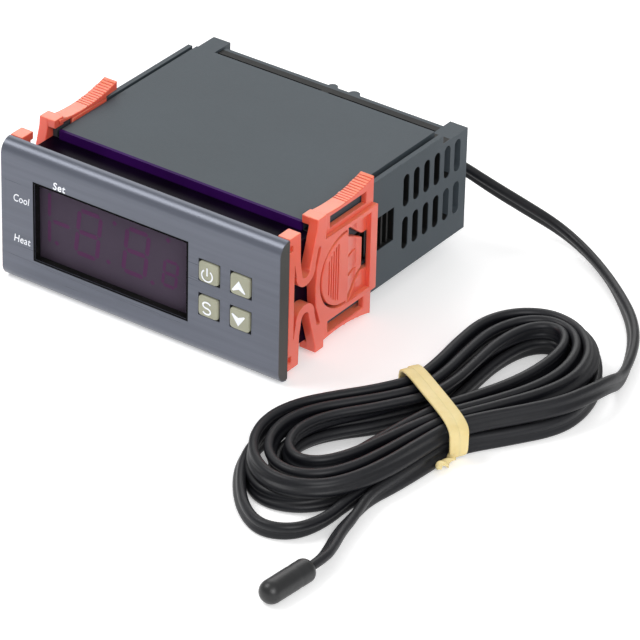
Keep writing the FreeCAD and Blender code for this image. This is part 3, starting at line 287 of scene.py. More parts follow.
def build_grain():
    """Moulded surface, as every plastic and rubber piece has: cloudy tone between two colours, a fine grain
    as a height, a roughness that varies with both, and a mask of settled dust on what faces up."""
    group = bpy.data.node_groups.new("moulded_surface", "ShaderNodeTree")
    face = group.interface
    for name, kind, value in (
        ("Place", "NodeSocketVector", None), ("Tone", "NodeSocketColor", (0.1, 0.1, 0.1, 1)),
        ("Second Tone", "NodeSocketColor", (0.2, 0.2, 0.2, 1)), ("Cloud Scale", "NodeSocketFloat", 60.0),
        ("Grain Scale", "NodeSocketFloat", 2500.0), ("Gloss", "NodeSocketFloat", 0.35),
        ("Gloss Change", "NodeSocketFloat", 0.12), ("Dust", "NodeSocketFloat", 0.06),
    ):
        socket = face.new_socket(name, in_out="INPUT", socket_type=kind)
        if value is not None:
            socket.default_value = value
    face.new_socket("Color", in_out="OUTPUT", socket_type="NodeSocketColor")
    face.new_socket("Roughness", in_out="OUTPUT", socket_type="NodeSocketFloat")
    face.new_socket("Height", in_out="OUTPUT", socket_type="NodeSocketFloat")
    entry = group.nodes.new("NodeGroupInput")
    leave = group.nodes.new("NodeGroupOutput")
    cloud = node(group, "ShaderNodeTexNoise", Detail=4.0, Roughness=0.6)
    wire(group, (entry, "Place"), (cloud, "Vector"))
    wire(group, (entry, "Cloud Scale"), (cloud, "Scale"))
    grain = node(group, "ShaderNodeTexNoise", Detail=3.0, Roughness=0.55)
    wire(group, (entry, "Place"), (grain, "Vector"))
    wire(group, (entry, "Grain Scale"), (grain, "Scale"))
    spread = node(group, "ShaderNodeMapRange", From_Min=0.32, From_Max=0.68)
    wire(group, (cloud, "Fac"), (spread, "Value"))
    tone = node(group, "ShaderNodeMix", data_type="RGBA")
    wire(group, (spread, "Result"), (tone, 0))
    wire(group, (entry, "Tone"), (tone, 6))
    wire(group, (entry, "Second Tone"), (tone, 7))
    facing = node(group, "ShaderNodeNewGeometry")
    split = node(group, "ShaderNodeSeparateXYZ")
    wire(group, (facing, "Normal"), (split, 0))
    up = node(group, "ShaderNodeMapRange", From_Min=0.3, From_Max=1.0)
    wire(group, (split, "Z"), (up, "Value"))
    specks = node(group, "ShaderNodeTexNoise", Scale=900.0, Detail=5.0, Roughness=0.75)
    wire(group, (entry, "Place"), (specks, "Vector"))
    settled = node(group, "ShaderNodeMath", operation="MULTIPLY")
    wire(group, (up, "Result"), (settled, 0))
    wire(group, (specks, "Fac"), (settled, 1))
    amount = node(group, "ShaderNodeMath", operation="MULTIPLY")
    wire(group, (settled, 0), (amount, 0))
    wire(group, (entry, "Dust"), (amount, 1))
    dusty = node(group, "ShaderNodeMix", data_type="RGBA")
    dusty.inputs[7].default_value = (0.55, 0.54, 0.52, 1)
    wire(group, (amount, 0), (dusty, 0))
    wire(group, (tone, 2), (dusty, 6))
    wire(group, (dusty, 2), (leave, "Color"))
    change = node(group, "ShaderNodeMath", operation="SUBTRACT")
    change.inputs[1].default_value = 0.5
    wire(group, (cloud, "Fac"), (change, 0))
    gloss = node(group, "ShaderNodeMath", operation="MULTIPLY_ADD")
    wire(group, (change, 0), (gloss, 0))
    wire(group, (entry, "Gloss Change"), (gloss, 1))
    wire(group, (entry, "Gloss"), (gloss, 2))
    rough = node(group, "ShaderNodeMath", operation="ADD")
    wire(group, (gloss, 0), (rough, 0))
    wire(group, (amount, 0), (rough, 1))
    wire(group, (rough, 0), (leave, "Roughness"))
    wire(group, (grain, "Fac"), (leave, "Height"))
    return group


moulded_surface = build_grain()


def moulded(name, tone, second, gloss, change=0.12, grain=2500.0, depth=0.02, cloud=60.0, dust=0.06,
            reach=0.0001, drawn=1.0, **finish):
    """A moulded plastic or rubber: the shared surface with its own tones, and the rest on the shader's
    sockets. Where drawn is below one, the pattern is stretched along the piece's width by that share, as on
    rolled sheet."""
    made = bpy.data.materials.new(name)
    made.use_nodes = True
    tree = made.node_tree
    shader = tree.nodes["Principled BSDF"]
    place = node(tree, "ShaderNodeTexCoord")
    surface = tree.nodes.new("ShaderNodeGroup")
    surface.node_tree = moulded_surface
    for socket, value in (
        ("Tone", tone), ("Second Tone", second), ("Cloud Scale", cloud), ("Grain Scale", grain),
        ("Gloss", gloss), ("Gloss Change", change), ("Dust", dust),
    ):
        surface.inputs[socket].default_value = value
    stretch = node(tree, "ShaderNodeMapping", Scale=(drawn, 1.0, 1.0))
    wire(tree, (place, "Object"), (stretch, "Vector"))
    wire(tree, (stretch, "Vector"), (surface, "Place"))
    bump = node(tree, "ShaderNodeBump", Strength=depth, Distance=reach)
    wire(tree, (surface, "Height"), (bump, "Height"))
    wire(tree, (surface, "Color"), (shader, "Base Color"))
    wire(tree, (surface, "Roughness"), (shader, "Roughness"))
    wire(tree, (bump, "Normal"), (shader, "Normal"))
    for socket, value in finish.items():
        shader.inputs[socket.replace("_", " ")].default_value = value
    return made


flex_rubber = moulded("flex_rubber", tint("#0e0f13"), tint("#15161b"), 0.42, 0.2, 900.0, 0.25, 45.0, 0.03,
                      Specular_IOR_Level=0.3)
probe_lead.data.materials.append(flex_rubber)
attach(probe_lead, "controller")
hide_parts("probe_cord", "cord_hank", "probe_cord_tail")

# The probe: a capsule of hard black rubber moulded over the sensor and the flex's end. The flex runs
# straight for its last stretch and into the capsule, which has rounded shoulders and a blunt tip.
PROBE_START = numpy.array(TAIL[-2])
PROBE_AHEAD = numpy.array((-0.00195, -0.0204, 0.0))
PROBE_RADIUS = 0.0026
PROBE_LONG = 0.0205
CAPSULE_START = 0.0037


def turned(name, start, ahead, stations, radii, points=40):
    """A surface of revolution: a circle of radius r(s) round the line start + s * ahead, for each station
    s."""
    ahead = ahead / numpy.linalg.norm(ahead)
    side = numpy.cross(ahead, (0.0, 0.0, 1.0))
    side /= numpy.linalg.norm(side)
    upright = numpy.cross(side, ahead)
    angle = numpy.linspace(0, 2 * numpy.pi, points, endpoint=False)
    circle = numpy.cos(angle)[:, None] * side + numpy.sin(angle)[:, None] * upright
    centres = start + numpy.asarray(stations)[:, None] * ahead
    grid = centres[:, None] + numpy.asarray(radii)[:, None, None] * circle[None]
    return put_mesh(name, grid.reshape(-1, 3), skin(grid.shape[:2]))


shoulder = numpy.linspace(0.7, numpy.pi / 2, 10)
shoulder_stations = CAPSULE_START + 0.0018 * (1 - numpy.cos(shoulder))
shoulder_radii = PROBE_RADIUS * numpy.sin(shoulder) ** 0.8
body_stations = numpy.linspace(CAPSULE_START + 0.002, PROBE_LONG - 2 * PROBE_RADIUS, 24)
body_radii = PROBE_RADIUS * (1 - 0.02 * numpy.exp(-((body_stations - 0.0085) / 0.0004) ** 2))
tip = numpy.linspace(0.12, numpy.pi / 2 * 0.985, 14)
tip_stations = body_stations[-1] + PROBE_RADIUS * numpy.sin(tip)
tip_radii = PROBE_RADIUS * numpy.cos(tip) ** 0.9
probe = turned("probe_capsule", PROBE_START, PROBE_AHEAD,
               numpy.concatenate([shoulder_stations, body_stations, tip_stations]),
               numpy.concatenate([shoulder_radii, body_radii, tip_radii]))
probe.data.materials.append(moulded("probe_rubber", tint("#101112"), tint("#17181a"), 0.38, 0.15, 1400.0,
                                    0.12, 70.0, 0.03))
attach(probe, "controller")
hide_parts("sensor_probe")

# The rubber band: one pale cut ring of natural rubber, wound twice round the hank's waist.
# Its two windings lie side by side and a twist is tucked under at the near right corner.
BAND_CENTRE = numpy.array((0.0736, -0.0312))
BAND_TURN = numpy.radians(-31.7)
BAND_HALF = 0.0133
BAND_LOW = 0.0004
BAND_HIGH = 0.0094
BAND_STRIP = 0.0024
BAND_THICK = 0.0008


def band_winding(sweep):
    """The band's line: an ellipse of a high power across the waist, so nearly a rounded oblong, that shifts
    sideways by one strip's width from its first winding to its second. Returned with its outward
    direction."""
    power = 0.42
    round_x = numpy.sign(numpy.cos(sweep)) * numpy.abs(numpy.cos(sweep)) ** power
    round_z = numpy.sign(numpy.sin(sweep)) * numpy.abs(numpy.sin(sweep)) ** power
    shift = 0.00105 * numpy.tanh(2.6 * numpy.sin(sweep / 2 + 0.6))
    reach = (BAND_HALF + 0.0003 * numpy.sin(sweep / 2)) * round_x
    middle = (BAND_LOW + BAND_HIGH) / 2
    height = middle + (BAND_HIGH - BAND_LOW) / 2 * round_z
    across = numpy.array((numpy.cos(BAND_TURN), numpy.sin(BAND_TURN)))
    beside = numpy.array((-across[1], across[0]))
    flat = BAND_CENTRE + reach[:, None] * across + shift[:, None] * beside
    out = numpy.column_stack([round_x[:, None] * across, round_z])
    return numpy.column_stack([flat, height]), out / numpy.linalg.norm(out, axis=1)[:, None], beside


band_sweep = numpy.linspace(0, 4 * numpy.pi, 240, endpoint=False)
band_line, band_out, band_beside = band_winding(band_sweep)
strip_angle = numpy.linspace(0, 2 * numpy.pi, 16, endpoint=False)
strip_wide = BAND_STRIP / 2 * numpy.sign(numpy.cos(strip_angle)) * numpy.abs(numpy.cos(strip_angle)) ** 0.4
strip_thick = BAND_THICK / 2 * numpy.sign(numpy.sin(strip_angle)) * numpy.abs(numpy.sin(strip_angle)) ** 0.5
beside3 = numpy.array((*band_beside, 0.0))
band_grid = (band_line[:, None] + strip_wide[None, :, None] * beside3
             + strip_thick[None, :, None] * band_out[:, None])
band_grid[..., 2] = numpy.maximum(band_grid[..., 2], 0.00004)
rubber_band = put_mesh("hank_band", band_grid.reshape(-1, 3), skin(band_grid.shape[:2], close_round=True))
band_material = moulded("band_rubber", tint("#d6c184"), tint("#e0ce98"), 0.55, 0.1, 1100.0, 0.15, 160.0, 0.0,
                        Subsurface_Weight=0.25, Subsurface_Radius=(0.4, 0.3, 0.15), Subsurface_Scale=0.001)
rubber_band.data.materials.append(band_material)
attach(rubber_band, "controller")
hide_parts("rubber_band")
# The twist: the strip's spare loop, turned on itself one and a half times along the outermost strand
TWIST_START = numpy.array((0.0845, -0.0377, 0.0022))
TWIST_REACH = numpy.array((-0.0006, -0.0068, -0.0007))
TWIST_WAVE = 0.0004
TWIST_TURNS = 1.5
TWIST_HALF = 0.0011
TWIST_THIN = 0.00045
TWIST_STEPS = 40
twist_share = numpy.linspace(0, 1, TWIST_STEPS)
twist_line = TWIST_START + twist_share[:, None] * TWIST_REACH
twist_line[:, 2] += TWIST_WAVE * numpy.sin(twist_share * 9)
twist_turn = 2 * numpy.pi * TWIST_TURNS * twist_share
twist_wide = TWIST_HALF * numpy.sqrt(numpy.maximum(1 - (2 * twist_share - 1) ** 6, 0.02))
level = numpy.zeros(TWIST_STEPS)
twist_across = numpy.column_stack([numpy.cos(twist_turn), level, numpy.sin(twist_turn)])
twist_through = numpy.column_stack([-numpy.sin(twist_turn), level, numpy.cos(twist_turn)])
twist_sides = twist_wide[:, None, None] * numpy.cos(strip_angle)[None, :, None] * twist_across[:, None]
twist_faces = TWIST_THIN * numpy.sin(strip_angle)[None, :, None] * twist_through[:, None]
twist_grid = twist_line[:, None] + twist_sides + twist_faces
twist_grid[..., 2] = numpy.maximum(twist_grid[..., 2], 0.00004)
band_twist = put_mesh("band_twist", twist_grid.reshape(-1, 3), skin(twist_grid.shape[:2]))
band_twist.data.materials.append(band_material)
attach(band_twist, "controller")

# The rubber ring in the rear cover that the lead comes out through.
# It is moulded in one colour with the flex and squeezed into its hole.
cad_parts["cord_grommet"].data.materials.clear()
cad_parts["cord_grommet"].data.materials.append(flex_rubber)


# The bezel and its film: a dark moulded plastic frame, seen only at its sawn-looking ends, under one printed
# polyester film that is pressed round the upper and lower edges. The print is a satin blue-grey.
def coat_node(name, material):
    """Gives a piece that comes from the CAD model its finish."""
    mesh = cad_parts[name].data
    mesh.materials.clear()
    mesh.materials.append(material)


film_print = moulded("film_print", tint("#555964"), tint("#5e626e"), 0.3, 0.16, 3200.0, 0.03, 700.0, 0.0,
                     drawn=0.03, Metallic=0.35, Coat_Weight=0.1, Coat_Roughness=0.25)
bezel_plastic = moulded("bezel_plastic", tint("#31312f"), tint("#3a3a37"), 0.5, 0.15, 1800.0, 0.2, 90.0, 0.05)
coat_node("front_overlay", film_print)
coat_node("front_bezel", bezel_plastic)

# The printed words beside the window: thin white ink in a plain slanted face, under the film's satin surface.
# Each is drawn from letters, slanted, turned to face forwards and laid a hundredth of a millimetre proud.
INK_FRONT = -0.036787
ink = moulded("white_ink", tint("#dfe2ea"), tint("#f2f4f8"), 0.45, 0.1, 3000.0, 0.04, 400.0, 0.0)


def printed(name, words, left, low, tall, wide=1.0, bold=0.0, apart=1.0, slant=0.16, front=INK_FRONT):
    """Letters as a flat mesh: height tall in metres, standing in the plane Y = front, lower left corner
    given. Their outlines are thickened by bold and their width and spacing are changed by wide and
    apart."""
    text = bpy.data.curves.new(name, "FONT")
    text.body = words
    text.shear = slant
    text.offset = bold
    text.space_character = apart
    text.resolution_u = 6
    holder = bpy.data.objects.new(name, text)
    bpy.context.scene.collection.objects.link(holder)
    flat = bpy.data.meshes.new_from_object(holder)
    bpy.data.objects.remove(holder)
    bpy.data.curves.remove(text)
    corners = numpy.empty(len(flat.vertices) * 3)
    flat.vertices.foreach_get("co", corners)
    corners = corners.reshape(-1, 3)
    capital = corners[:, 1].max()
    scale = tall / capital
    placed = numpy.column_stack([left + (corners[:, 0] - corners[:, 0].min()) * scale * wide,
                                 numpy.full(len(corners), front), low + corners[:, 1] * scale])
    flat.vertices.foreach_set("co", placed.ravel())
    flat.update()
    flat.name = name
    made = bpy.data.objects.new(name, flat)
    bpy.context.scene.collection.objects.link(made)
    return made


for name, words, left, low, tall, wide, bold, apart in (
    ("set_legend", "Set", -0.02315, 0.0273, 0.0018, 0.95, 0.022, 1.12),
    ("cool_legend", "Cool", -0.0341, 0.0207, 0.0018, 0.84, 0.005, 1.03),
    ("heat_legend", "Heat", -0.0341, 0.0106, 0.0018, 0.86, 0.005, 1.06),
):
    legend = printed(name, words, left, low, tall, wide, bold, apart)
    legend.data.materials.append(ink)
    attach(legend, "controller")

# The window: a smoked lens held behind the film, with a thin black line printed round its opening.
# Each of its faces takes away two fifths of the light and adds no gloss, so the unlit digits show faintly.
WINDOW = (-0.028275, 0.013075, 0.0078, 0.0267)
BORDER = 0.00045
smoked_lens = moulded("smoked_lens", tint("#020103"), tint("#030204"), 0.2, 0.04, 1500.0, 0.0, 25.0, 0.0,
                      Specular_IOR_Level=0.0, Alpha=0.39)
coat_node("display_window", smoked_lens)


def border_mesh(name, left, right, low, high, wide, front):
    """A flat frame: four quads between an outer oblong and one that is smaller by wide on every side."""
    outer = [(left - wide, low - wide), (right + wide, low - wide),
             (right + wide, high + wide), (left - wide, high + wide)]
    inner = [(left, low), (right, low), (right, high), (left, high)]
    corners = [(across, front, up) for across, up in outer + inner]
    faces = [(side, (side + 1) % 4, (side + 1) % 4 + 4, side + 4) for side in range(4)]
    return put_mesh(name, corners, faces, False)


window_line = border_mesh("window_line", *WINDOW, BORDER, INK_FRONT)
window_line.data.materials.append(moulded("black_ink", tint("#020203"), tint("#040405"), 0.6, 0.1, 3000.0,
                                          0.03, 300.0, 0.0, Specular_IOR_Level=0.05))
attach(window_line, "controller")
display_case = moulded("display_case", tint("#b09db9"), tint("#b4a1bd"), 0.7, 0.05, 1500.0, 0.0, 90.0, 0.0,
                       Specular_IOR_Level=0.1)
coat_node("led_display", display_case)

# A thin grey sheet lies on the module's face and fills the lens's back from side to side
SHEET_LEFT, SHEET_RIGHT, SHEET_LOW, SHEET_HIGH = -0.0292, 0.0140, 0.0069, 0.0276
SHEET_FRONT, SHEET_BACK = -0.03403, -0.03393
sheet_outline = [(SHEET_LEFT, SHEET_LOW), (SHEET_RIGHT, SHEET_LOW),
                 (SHEET_RIGHT, SHEET_HIGH), (SHEET_LEFT, SHEET_HIGH)]
sheet_corners = [(across, deep, up) for deep in (SHEET_FRONT, SHEET_BACK) for across, up in sheet_outline]
sheet_edges = [(side, side + 4, (side + 1) % 4 + 4, (side + 1) % 4) for side in range(4)]
display_sheet = put_mesh("display_sheet", sheet_corners, [(0, 1, 2, 3), (7, 6, 5, 4)] + sheet_edges, False)
display_sheet.data.materials.append(display_case)
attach(display_sheet, "controller")

# The display's unlit elements: a leading one with a minus sign, two tall leaning figures, their points and
# a small unit figure, printed as flat violet bars with pointed ends on the module's face.
ELEMENT_FRONT = -0.0341
LEAN = 0.115


def element(start, end, thick):
    """A bar with pointed ends between two places: six corners, half a bar's thickness in from each end."""
    start = numpy.array(start, dtype=float)
    end = numpy.array(end, dtype=float)
    ahead = (end - start) / numpy.linalg.norm(end - start)
    side = numpy.array((-ahead[1], ahead[0])) * thick / 2
    near = start + ahead * thick / 2
    far = end - ahead * thick / 2
    return [start, near + side, far + side, end, far - side, near - side]


def figure(across, middle, wide, tall, thick):
    """A figure of seven bars along the sides and the middle of a leaning oblong, each a little short of its
    corners."""
    rows = [middle + tall / 2 * step for step in (-1, 0, 1)]
    corner = [[(across + side * wide / 2 + (row - middle) * LEAN, row) for side in (-1, 1)] for row in rows]
    pairs = [(corner[row][0], corner[row][1]) for row in range(3)]
    pairs += [(corner[row][side], corner[row + 1][side]) for row in range(2) for side in range(2)]
    return [element(numpy.array(start) * 0.96 + numpy.array(end) * 0.04,
                    numpy.array(end) * 0.96 + numpy.array(start) * 0.04, thick) for start, end in pairs]


bars = figure(-15.56, 17.3, 5.8, 10.9, 1.1) + figure(-2.52, 17.4, 5.8, 10.9, 1.1)
bars += figure(6.74, 15.4, 3.5, 6.2, 0.8)
bars += [element((-26.35, 11.7), (-26.3, 17.3), 0.9), element((-26.3, 18.1), (-26.2, 24.1), 0.9),
         element((-25.4, 17.3), (-20.6, 17.3), 1.0)]
bars += [element((across - 0.7, up), (across + 0.7, up), 1.2)
         for across, up in ((-24.3, 12.05), (-8.35, 22.7), (-10.07, 12.45), (1.94, 11.6), (6.1, 23.6))]
bars = numpy.array(bars)
element_depth = numpy.full(bars.shape[:2], ELEMENT_FRONT)
element_corners = numpy.stack([bars[..., 0] / 1000, element_depth, bars[..., 1] / 1000], -1)
elements = put_mesh("unlit_elements", element_corners.reshape(-1, 3),
                    numpy.arange(len(bars) * 6).reshape(-1, 6), False)
elements.data.materials.append(moulded("unlit_segment", tint("#c882c4"), tint("#cb87c7"), 0.7, 0.05, 1500.0,
                                       0.0, 25.0, 0.0, Specular_IOR_Level=0.1))
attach(elements, "controller")
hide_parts("display_segments", "status_lamps")

# The four keys: khaki-grey soft plastic caps, slightly crowned with eased edges, each with one white
# printed mark. They stand half a millimetre proud in their square holes, and each moves in with its mark.
KEY_WIDE = 0.0052
KEY_TALL = 0.0050
KEY_FRONT = -0.03738
KEY_BACK = -0.0347
key_plastic = moulded("key_plastic", tint("#93937f"), tint("#9d9d89"), 0.42, 0.12, 2600.0, 0.12, 120.0, 0.05,
                      Subsurface_Weight=0.1, Subsurface_Radius=(0.3, 0.3, 0.2), Subsurface_Scale=0.0008)


def key_cap(name, across, up):
    """A cap as rings of a rounded square (a circle raised to the power 0.3), from its back edge forwards,
    over an eased rim and in across a face that rises to its middle by an eighth of a millimetre."""
    points = 48
    angle = numpy.linspace(0, 2 * numpy.pi, points, endpoint=False)
    square = numpy.column_stack([numpy.sign(numpy.cos(angle)) * numpy.abs(numpy.cos(angle)) ** 0.3,
                                 numpy.sign(numpy.sin(angle)) * numpy.abs(numpy.sin(angle)) ** 0.3])
    ease = numpy.linspace(0, numpy.pi / 2, 7)
    rim = 0.00035
    scale_in = numpy.concatenate([[0.0], rim * (1 - numpy.cos(ease)), numpy.linspace(0.0006, 0.0024, 8)])
    depth = numpy.concatenate([[KEY_BACK], KEY_FRONT + 0.00012 + rim * (1 - numpy.sin(ease)),
                               KEY_FRONT + 0.00012 * (1 - numpy.sin(numpy.linspace(0.15, numpy.pi / 2, 8)))])
    wide = (KEY_WIDE / 2 - scale_in)[:, None] * square[None, :, 0]
    tall = (KEY_TALL / 2 - scale_in)[:, None] * square[None, :, 1]
    grid = numpy.stack([across + wide, numpy.broadcast_to(depth[:, None], wide.shape), up + tall], -1)
    return put_mesh(name, grid.reshape(-1, 3), skin(grid.shape[:2]))


def stroke(name, lines, wide, front):
    """Flat marks of even width: each line is a row of points, swept with a band from one side to the
    other."""
    corners = []
    faces = []
    for line in lines:
        line = numpy.asarray(line, dtype=float)
        ahead = numpy.gradient(line, axis=0)
        ahead /= numpy.linalg.norm(ahead, axis=1)[:, None]
        side = numpy.column_stack([-ahead[:, 1], ahead[:, 0]]) * wide / 2
        first = len(corners)
        both = numpy.stack([line - side, line + side], 1).reshape(-1, 2)
        corners += [(across, front, up) for across, up in both]
        faces += [(first + 2 * at, first + 2 * at + 2, first + 2 * at + 3, first + 2 * at + 1)
                  for at in range(len(line) - 1)]
    return put_mesh(name, corners, faces, False)


def power_mark(across, up):
    """An open ring, whose points stand at a radius from its middle, and an upright bar through its gap."""
    sweep = numpy.radians(numpy.linspace(125, 415, 40))
    radius = 0.0014
    middle = up - 0.0005
    ring = numpy.column_stack([across + radius * numpy.cos(sweep), middle + radius * numpy.sin(sweep)])
    bar = [(across, up - 0.0006), (across, up + 0.0004), (across, up + 0.0014)]
    return [ring, bar]


def letter_mark(across, up):
    """The letter S as one line: most of an ellipse above the middle, run on into the same ellipse below
    it."""
    sweep = numpy.radians(numpy.linspace(20, 270, 24))
    wide, tall = 0.0010, 0.00072
    upper = numpy.column_stack([wide * numpy.cos(sweep), tall + tall * numpy.sin(sweep)])
    line = numpy.concatenate([upper, -upper[-2::-1]])
    return [line + (across, up)]


def arrow_mark(name, across, up, way, front):
    """A filled arrowhead with a notched base, as two four-sided halves and a blunt end on each barb."""
    half = [(0.0, 1.35), (1.8, -1.2), (1.5, -1.45), (0.0, -0.73)]
    corners = [(across + side * x / 1000, front, up + way * z / 1000) for side in (1, -1) for x, z in half]
    return put_mesh(name, corners, [(0, 1, 2, 3), (4, 7, 6, 5)], False)


MARK_FRONT = KEY_FRONT - 0.00003
MARK_LEFT = 0.00015
MARK_DROP = 0.0001
for key, across, up in (("power", 0.01915, 0.021475), ("up", 0.0275, 0.021475), ("set", 0.01915, 0.013025),
                        ("down", 0.0275, 0.013025)):
    cap = key_cap(key + "_key_cap", across, up)
    cap.data.materials.append(key_plastic)
    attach(cap, key + "_key")
    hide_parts(key + "_button")
    if key == "power":
        mark = stroke("power_mark", power_mark(across - MARK_LEFT, up), 0.00036, MARK_FRONT)
    elif key == "set":
        mark = stroke("set_mark", letter_mark(across - MARK_LEFT, up - MARK_DROP), 0.00042, MARK_FRONT)
    else:
        way = 1 if key == "up" else -1
        mark = arrow_mark(key + "_mark", across - MARK_LEFT, up - MARK_DROP, way, MARK_FRONT)
    mark.data.materials.append(ink)
    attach(mark, key + "_key")
    coat_node(key + "_plunger", moulded(key + "_plunger_plastic", tint("#20201f"), tint("#2c2c2a"), 0.4))
coat_node("tact_switches", moulded("switch_case", tint("#2b2b2d"), tint("#3a3a3c"), 0.4, 0.1))

# The collar between the bezel and the housing: a see-through violet moulding, nearly black where it is thick.
# Along the raised lip that the light comes through, a brighter violet is painted into its tone as painted
# light.
violet_plastic = moulded("violet_plastic", tint("#08030e"), tint("#0f0519"), 0.34, 0.06, 1500.0, 0.05, 80.0,
                         0.0, Specular_IOR_Level=0.03)
# Painted light: the tone turns from nearly black at the ledge to violet just above it, for light through the
# lip
LIP_FOOT = 0.0299
LIP_TOP = 0.0304
collar_tree = violet_plastic.node_tree
spot = collar_tree.nodes["Texture Coordinate"]
parts = node(collar_tree, "ShaderNodeSeparateXYZ")
wire(collar_tree, (spot, "Object"), (parts, 0))
glow = node(collar_tree, "ShaderNodeMapRange", From_Min=LIP_FOOT, From_Max=LIP_TOP,
            interpolation_type="SMOOTHSTEP")
wire(collar_tree, (parts, "Z"), (glow, "Value"))
for socket, deep, bright in (("Tone", "#08030e", "#2e0d49"), ("Second Tone", "#0f0519", "#371056")):
    mixed = node(collar_tree, "ShaderNodeMix", data_type="RGBA")
    mixed.inputs[6].default_value = tint(deep)
    mixed.inputs[7].default_value = tint(bright)
    wire(collar_tree, (glow, "Result"), (mixed, 0))
    wire(collar_tree, (mixed, 2), (collar_tree.nodes["Group"], socket))
coat_node("tinted_collar", violet_plastic)

# The housing: one long grey-green moulding with a fine spark texture, rails for the clips and rows of vents.
# The cover behind the trough is the same plastic, and the terminal block is dark green.
housing_plastic = moulded("housing_plastic", tint("#3e464c"), tint("#454d53"), 0.6, 0.14, 3800.0, 0.3, 40.0,
                          0.03, Specular_IOR_Level=0.3)


def shaded(name, recess):
    """The housing's plastic, nearly black where Object coordinates lie within every (axis, middle, reach)
    given: |coordinate - middle| < reach."""
    made = housing_plastic.copy()
    made.name = name
    tree = made.node_tree
    parts = node(tree, "ShaderNodeSeparateXYZ")
    wire(tree, (tree.nodes["Texture Coordinate"], "Object"), (parts, 0))
    within = None
    for axis, middle, reach in recess:
        near = node(tree, "ShaderNodeMath", operation="COMPARE")
        near.inputs[1].default_value = middle
        near.inputs[2].default_value = reach
        wire(tree, (parts, axis), (near, 0))
        if within is not None:
            both = node(tree, "ShaderNodeMath", operation="MULTIPLY")
            wire(tree, (within, 0), (both, 0))
            wire(tree, (near, 0), (both, 1))
            near = both
        within = near
    for socket, open_tone in (("Tone", "#3e464c"), ("Second Tone", "#454d53")):
        mixed = node(tree, "ShaderNodeMix", data_type="RGBA")
        mixed.inputs[6].default_value = tint(open_tone)
        mixed.inputs[7].default_value = tint("#060707")
        wire(tree, (within, 0), (mixed, 0))
        wire(tree, (mixed, 2), (tree.nodes["Group"], socket))
    return made


# Inside the shell, in the vents, in the grooves beside the raised top and in the trough before the rear
# cover, hardly any light reaches the plastic
INSIDE = ((0, 0.0, 0.0348), (1, 0.0046, 0.026), (2, 0.0175, 0.0126))
TROUGH = ((1, 0.0300, 0.0043), (2, 0.0175, 0.0200))
coat_node("housing", shaded("shaded_housing_plastic", INSIDE))
coat_node("rear_cover", shaded("shaded_cover_plastic", TROUGH))
coat_node("terminal_block", moulded("terminal_plastic", tint("#1f3b2c"), tint("#28493a"), 0.42, 0.12, 1500.0,
                                    0.12))
coat_node("terminal_screws", moulded("screw_steel", tint("#a9abac"), tint("#c2c4c5"), 0.3, 0.15, 5200.0, 0.2,
                                     300.0, 0.02, Metallic=1.0))

# The sliding clips: glossy red plastic moulded in one piece a side, with V springs, a ribbed pad and a latch.
# The plastic lets a little light through, which its scattering shows at the edges; the orange glow on faces
# that look up is painted light.
clip_plastic = moulded("clip_plastic", tint("#e05c48"), tint("#e4644e"), 0.32, 0.06, 2200.0, 0.02, 90.0, 0.0,
                       Coat_Weight=0.2, Coat_Roughness=0.15, Subsurface_Weight=0.4,
                       Subsurface_Radius=(1.0, 0.3, 0.08), Subsurface_Scale=0.0015)
# Painted light: faces that look up, lit through from above, have a pale orange mixed into their tone
clip_tree = clip_plastic.node_tree
facing = node(clip_tree, "ShaderNodeNewGeometry")
rise = node(clip_tree, "ShaderNodeSeparateXYZ")
wire(clip_tree, (facing, "Normal"), (rise, 0))
lit = node(clip_tree, "ShaderNodeMapRange", From_Min=0.35, From_Max=0.95, To_Max=0.35,
           interpolation_type="SMOOTHSTEP")
wire(clip_tree, (rise, "Z"), (lit, "Value"))
painted_top_light = node(clip_tree, "ShaderNodeMix", data_type="RGBA")
painted_top_light.inputs[7].default_value = tint("#f0a67c")
wire(clip_tree, (lit, "Result"), (painted_top_light, 0))
wire(clip_tree, (clip_tree.nodes["Group"], "Color"), (painted_top_light, 6))
wire(clip_tree, (painted_top_light, 2), (clip_tree.nodes["Principled BSDF"], "Base Color"))


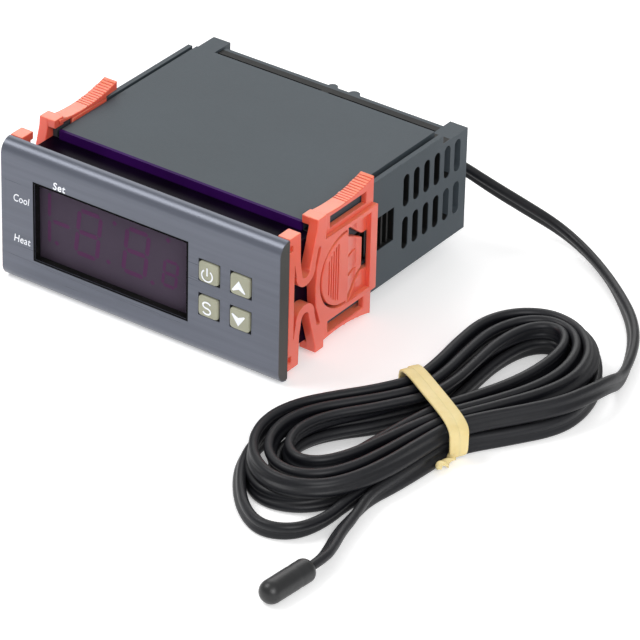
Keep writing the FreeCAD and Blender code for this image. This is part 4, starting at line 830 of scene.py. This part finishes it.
def eased(node_name, name, radius, fine=None, shortest=0.0004):
    """A copy of a moulded CAD piece for its finished look: its loose triangles are joined into whole faces,
    and each outward edge that is sharper than 30 degrees and longer than the shortest is rounded. Where
    fine, given an edge's middle and direction, says so, the edge belongs to a small rib and is rounded by a
    quarter as much."""
    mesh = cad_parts[node_name].data.copy()
    mesh.name = name
    form = bmesh.new()
    form.from_mesh(mesh)
    bmesh.ops.remove_doubles(form, verts=form.verts, dist=0.000002)
    bmesh.ops.dissolve_limit(form, angle_limit=0.02, verts=form.verts, edges=form.edges)
    weight = form.edges.layers.float.new("bevel_weight_edge")
    for edge in form.edges:
        turn = edge.calc_face_angle_signed(0.0)
        flat = all(abs(face.normal.x) > 0.9 for face in edge.link_faces)
        edge.smooth = abs(turn) < (0.05 if flat else 0.5)
        if turn > 0.5 and edge.calc_length() > shortest:
            start, end = (corner.co for corner in edge.verts)
            edge[weight] = 0.25 if fine and fine((start + end) / 2, (end - start).normalized()) else 1.0
    form.to_mesh(mesh)
    form.free()
    mesh.materials.clear()
    mesh.polygons.foreach_set("use_smooth", [True] * len(mesh.polygons))
    made = bpy.data.objects.new(name, mesh)
    bpy.context.scene.collection.objects.link(made)
    rounding = made.modifiers.new("eased_edges", "BEVEL")
    rounding.limit_method = "WEIGHT"
    rounding.width = radius
    rounding.segments = 2
    rounding.use_clamp_overlap = False
    rounding.harden_normals = True
    return made


CLIP_MIDDLE = 0.01825
PAD_CENTRE = -0.012875
PAD_REACH = 0.0073
GRIP_FROM = -0.0165


def on_ribs(middle, ahead):
    """Whether an edge lies on the finger pad's ribs, or along a tooth of the grips behind the lumps."""
    on_pad = (middle.y - PAD_CENTRE) ** 2 + (middle.z - CLIP_MIDDLE) ** 2 < PAD_REACH ** 2
    on_tooth = abs(ahead.x) > 0.9 and middle.y > GRIP_FROM and abs(middle.z - CLIP_MIDDLE) > 0.0125
    return on_pad or on_tooth


for side in ("right", "left"):
    clip = eased(side + "_clip", side + "_clip_eased", 0.00022, on_ribs)
    clip.data.materials.append(clip_plastic)
    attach(clip, side + "_panel_clip")
    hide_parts(side + "_clip")

# What stands inside: two brown boards with a chip, and on the main board the supply's transformer, a relay,
# a capacitor, a buzzer and a surge disc. They show only through the vents.
board_resin = moulded("board_resin", tint("#8f6d3a"), tint("#9c7a45"), 0.45, 0.1, 2600.0, 0.15, 60.0, 0.04)
coat_node("main_board", board_resin)
coat_node("display_board", board_resin)
coat_node("microcontroller", moulded("chip_resin", tint("#1b1b1c"), tint("#262627"), 0.5))
coat_node("board_connector", moulded("header_plastic", tint("#d8d3c2"), tint("#e4dfce"), 0.4))
coat_node("transformer_core", moulded("core_steel", tint("#6d7073"), tint("#84878a"), 0.4, 0.2, 4200.0, 0.3,
                                      200.0, 0.02, Metallic=0.9))
coat_node("transformer_winding", moulded("winding_tape", tint("#d8b13c"), tint("#e3c154"), 0.35, 0.1, 900.0,
                                         0.2))
coat_node("relay", moulded("relay_case", tint("#1f5fa3"), tint("#2a6bb0"), 0.35))
coat_node("filter_capacitor", moulded("capacitor_sleeve", tint("#26364f"), tint("#30415c"), 0.3))
coat_node("buzzer", moulded("buzzer_case", tint("#18181a"), tint("#232325"), 0.45))
coat_node("surge_disc", moulded("surge_coat", tint("#2f6fae"), tint("#3a7bbb"), 0.3))
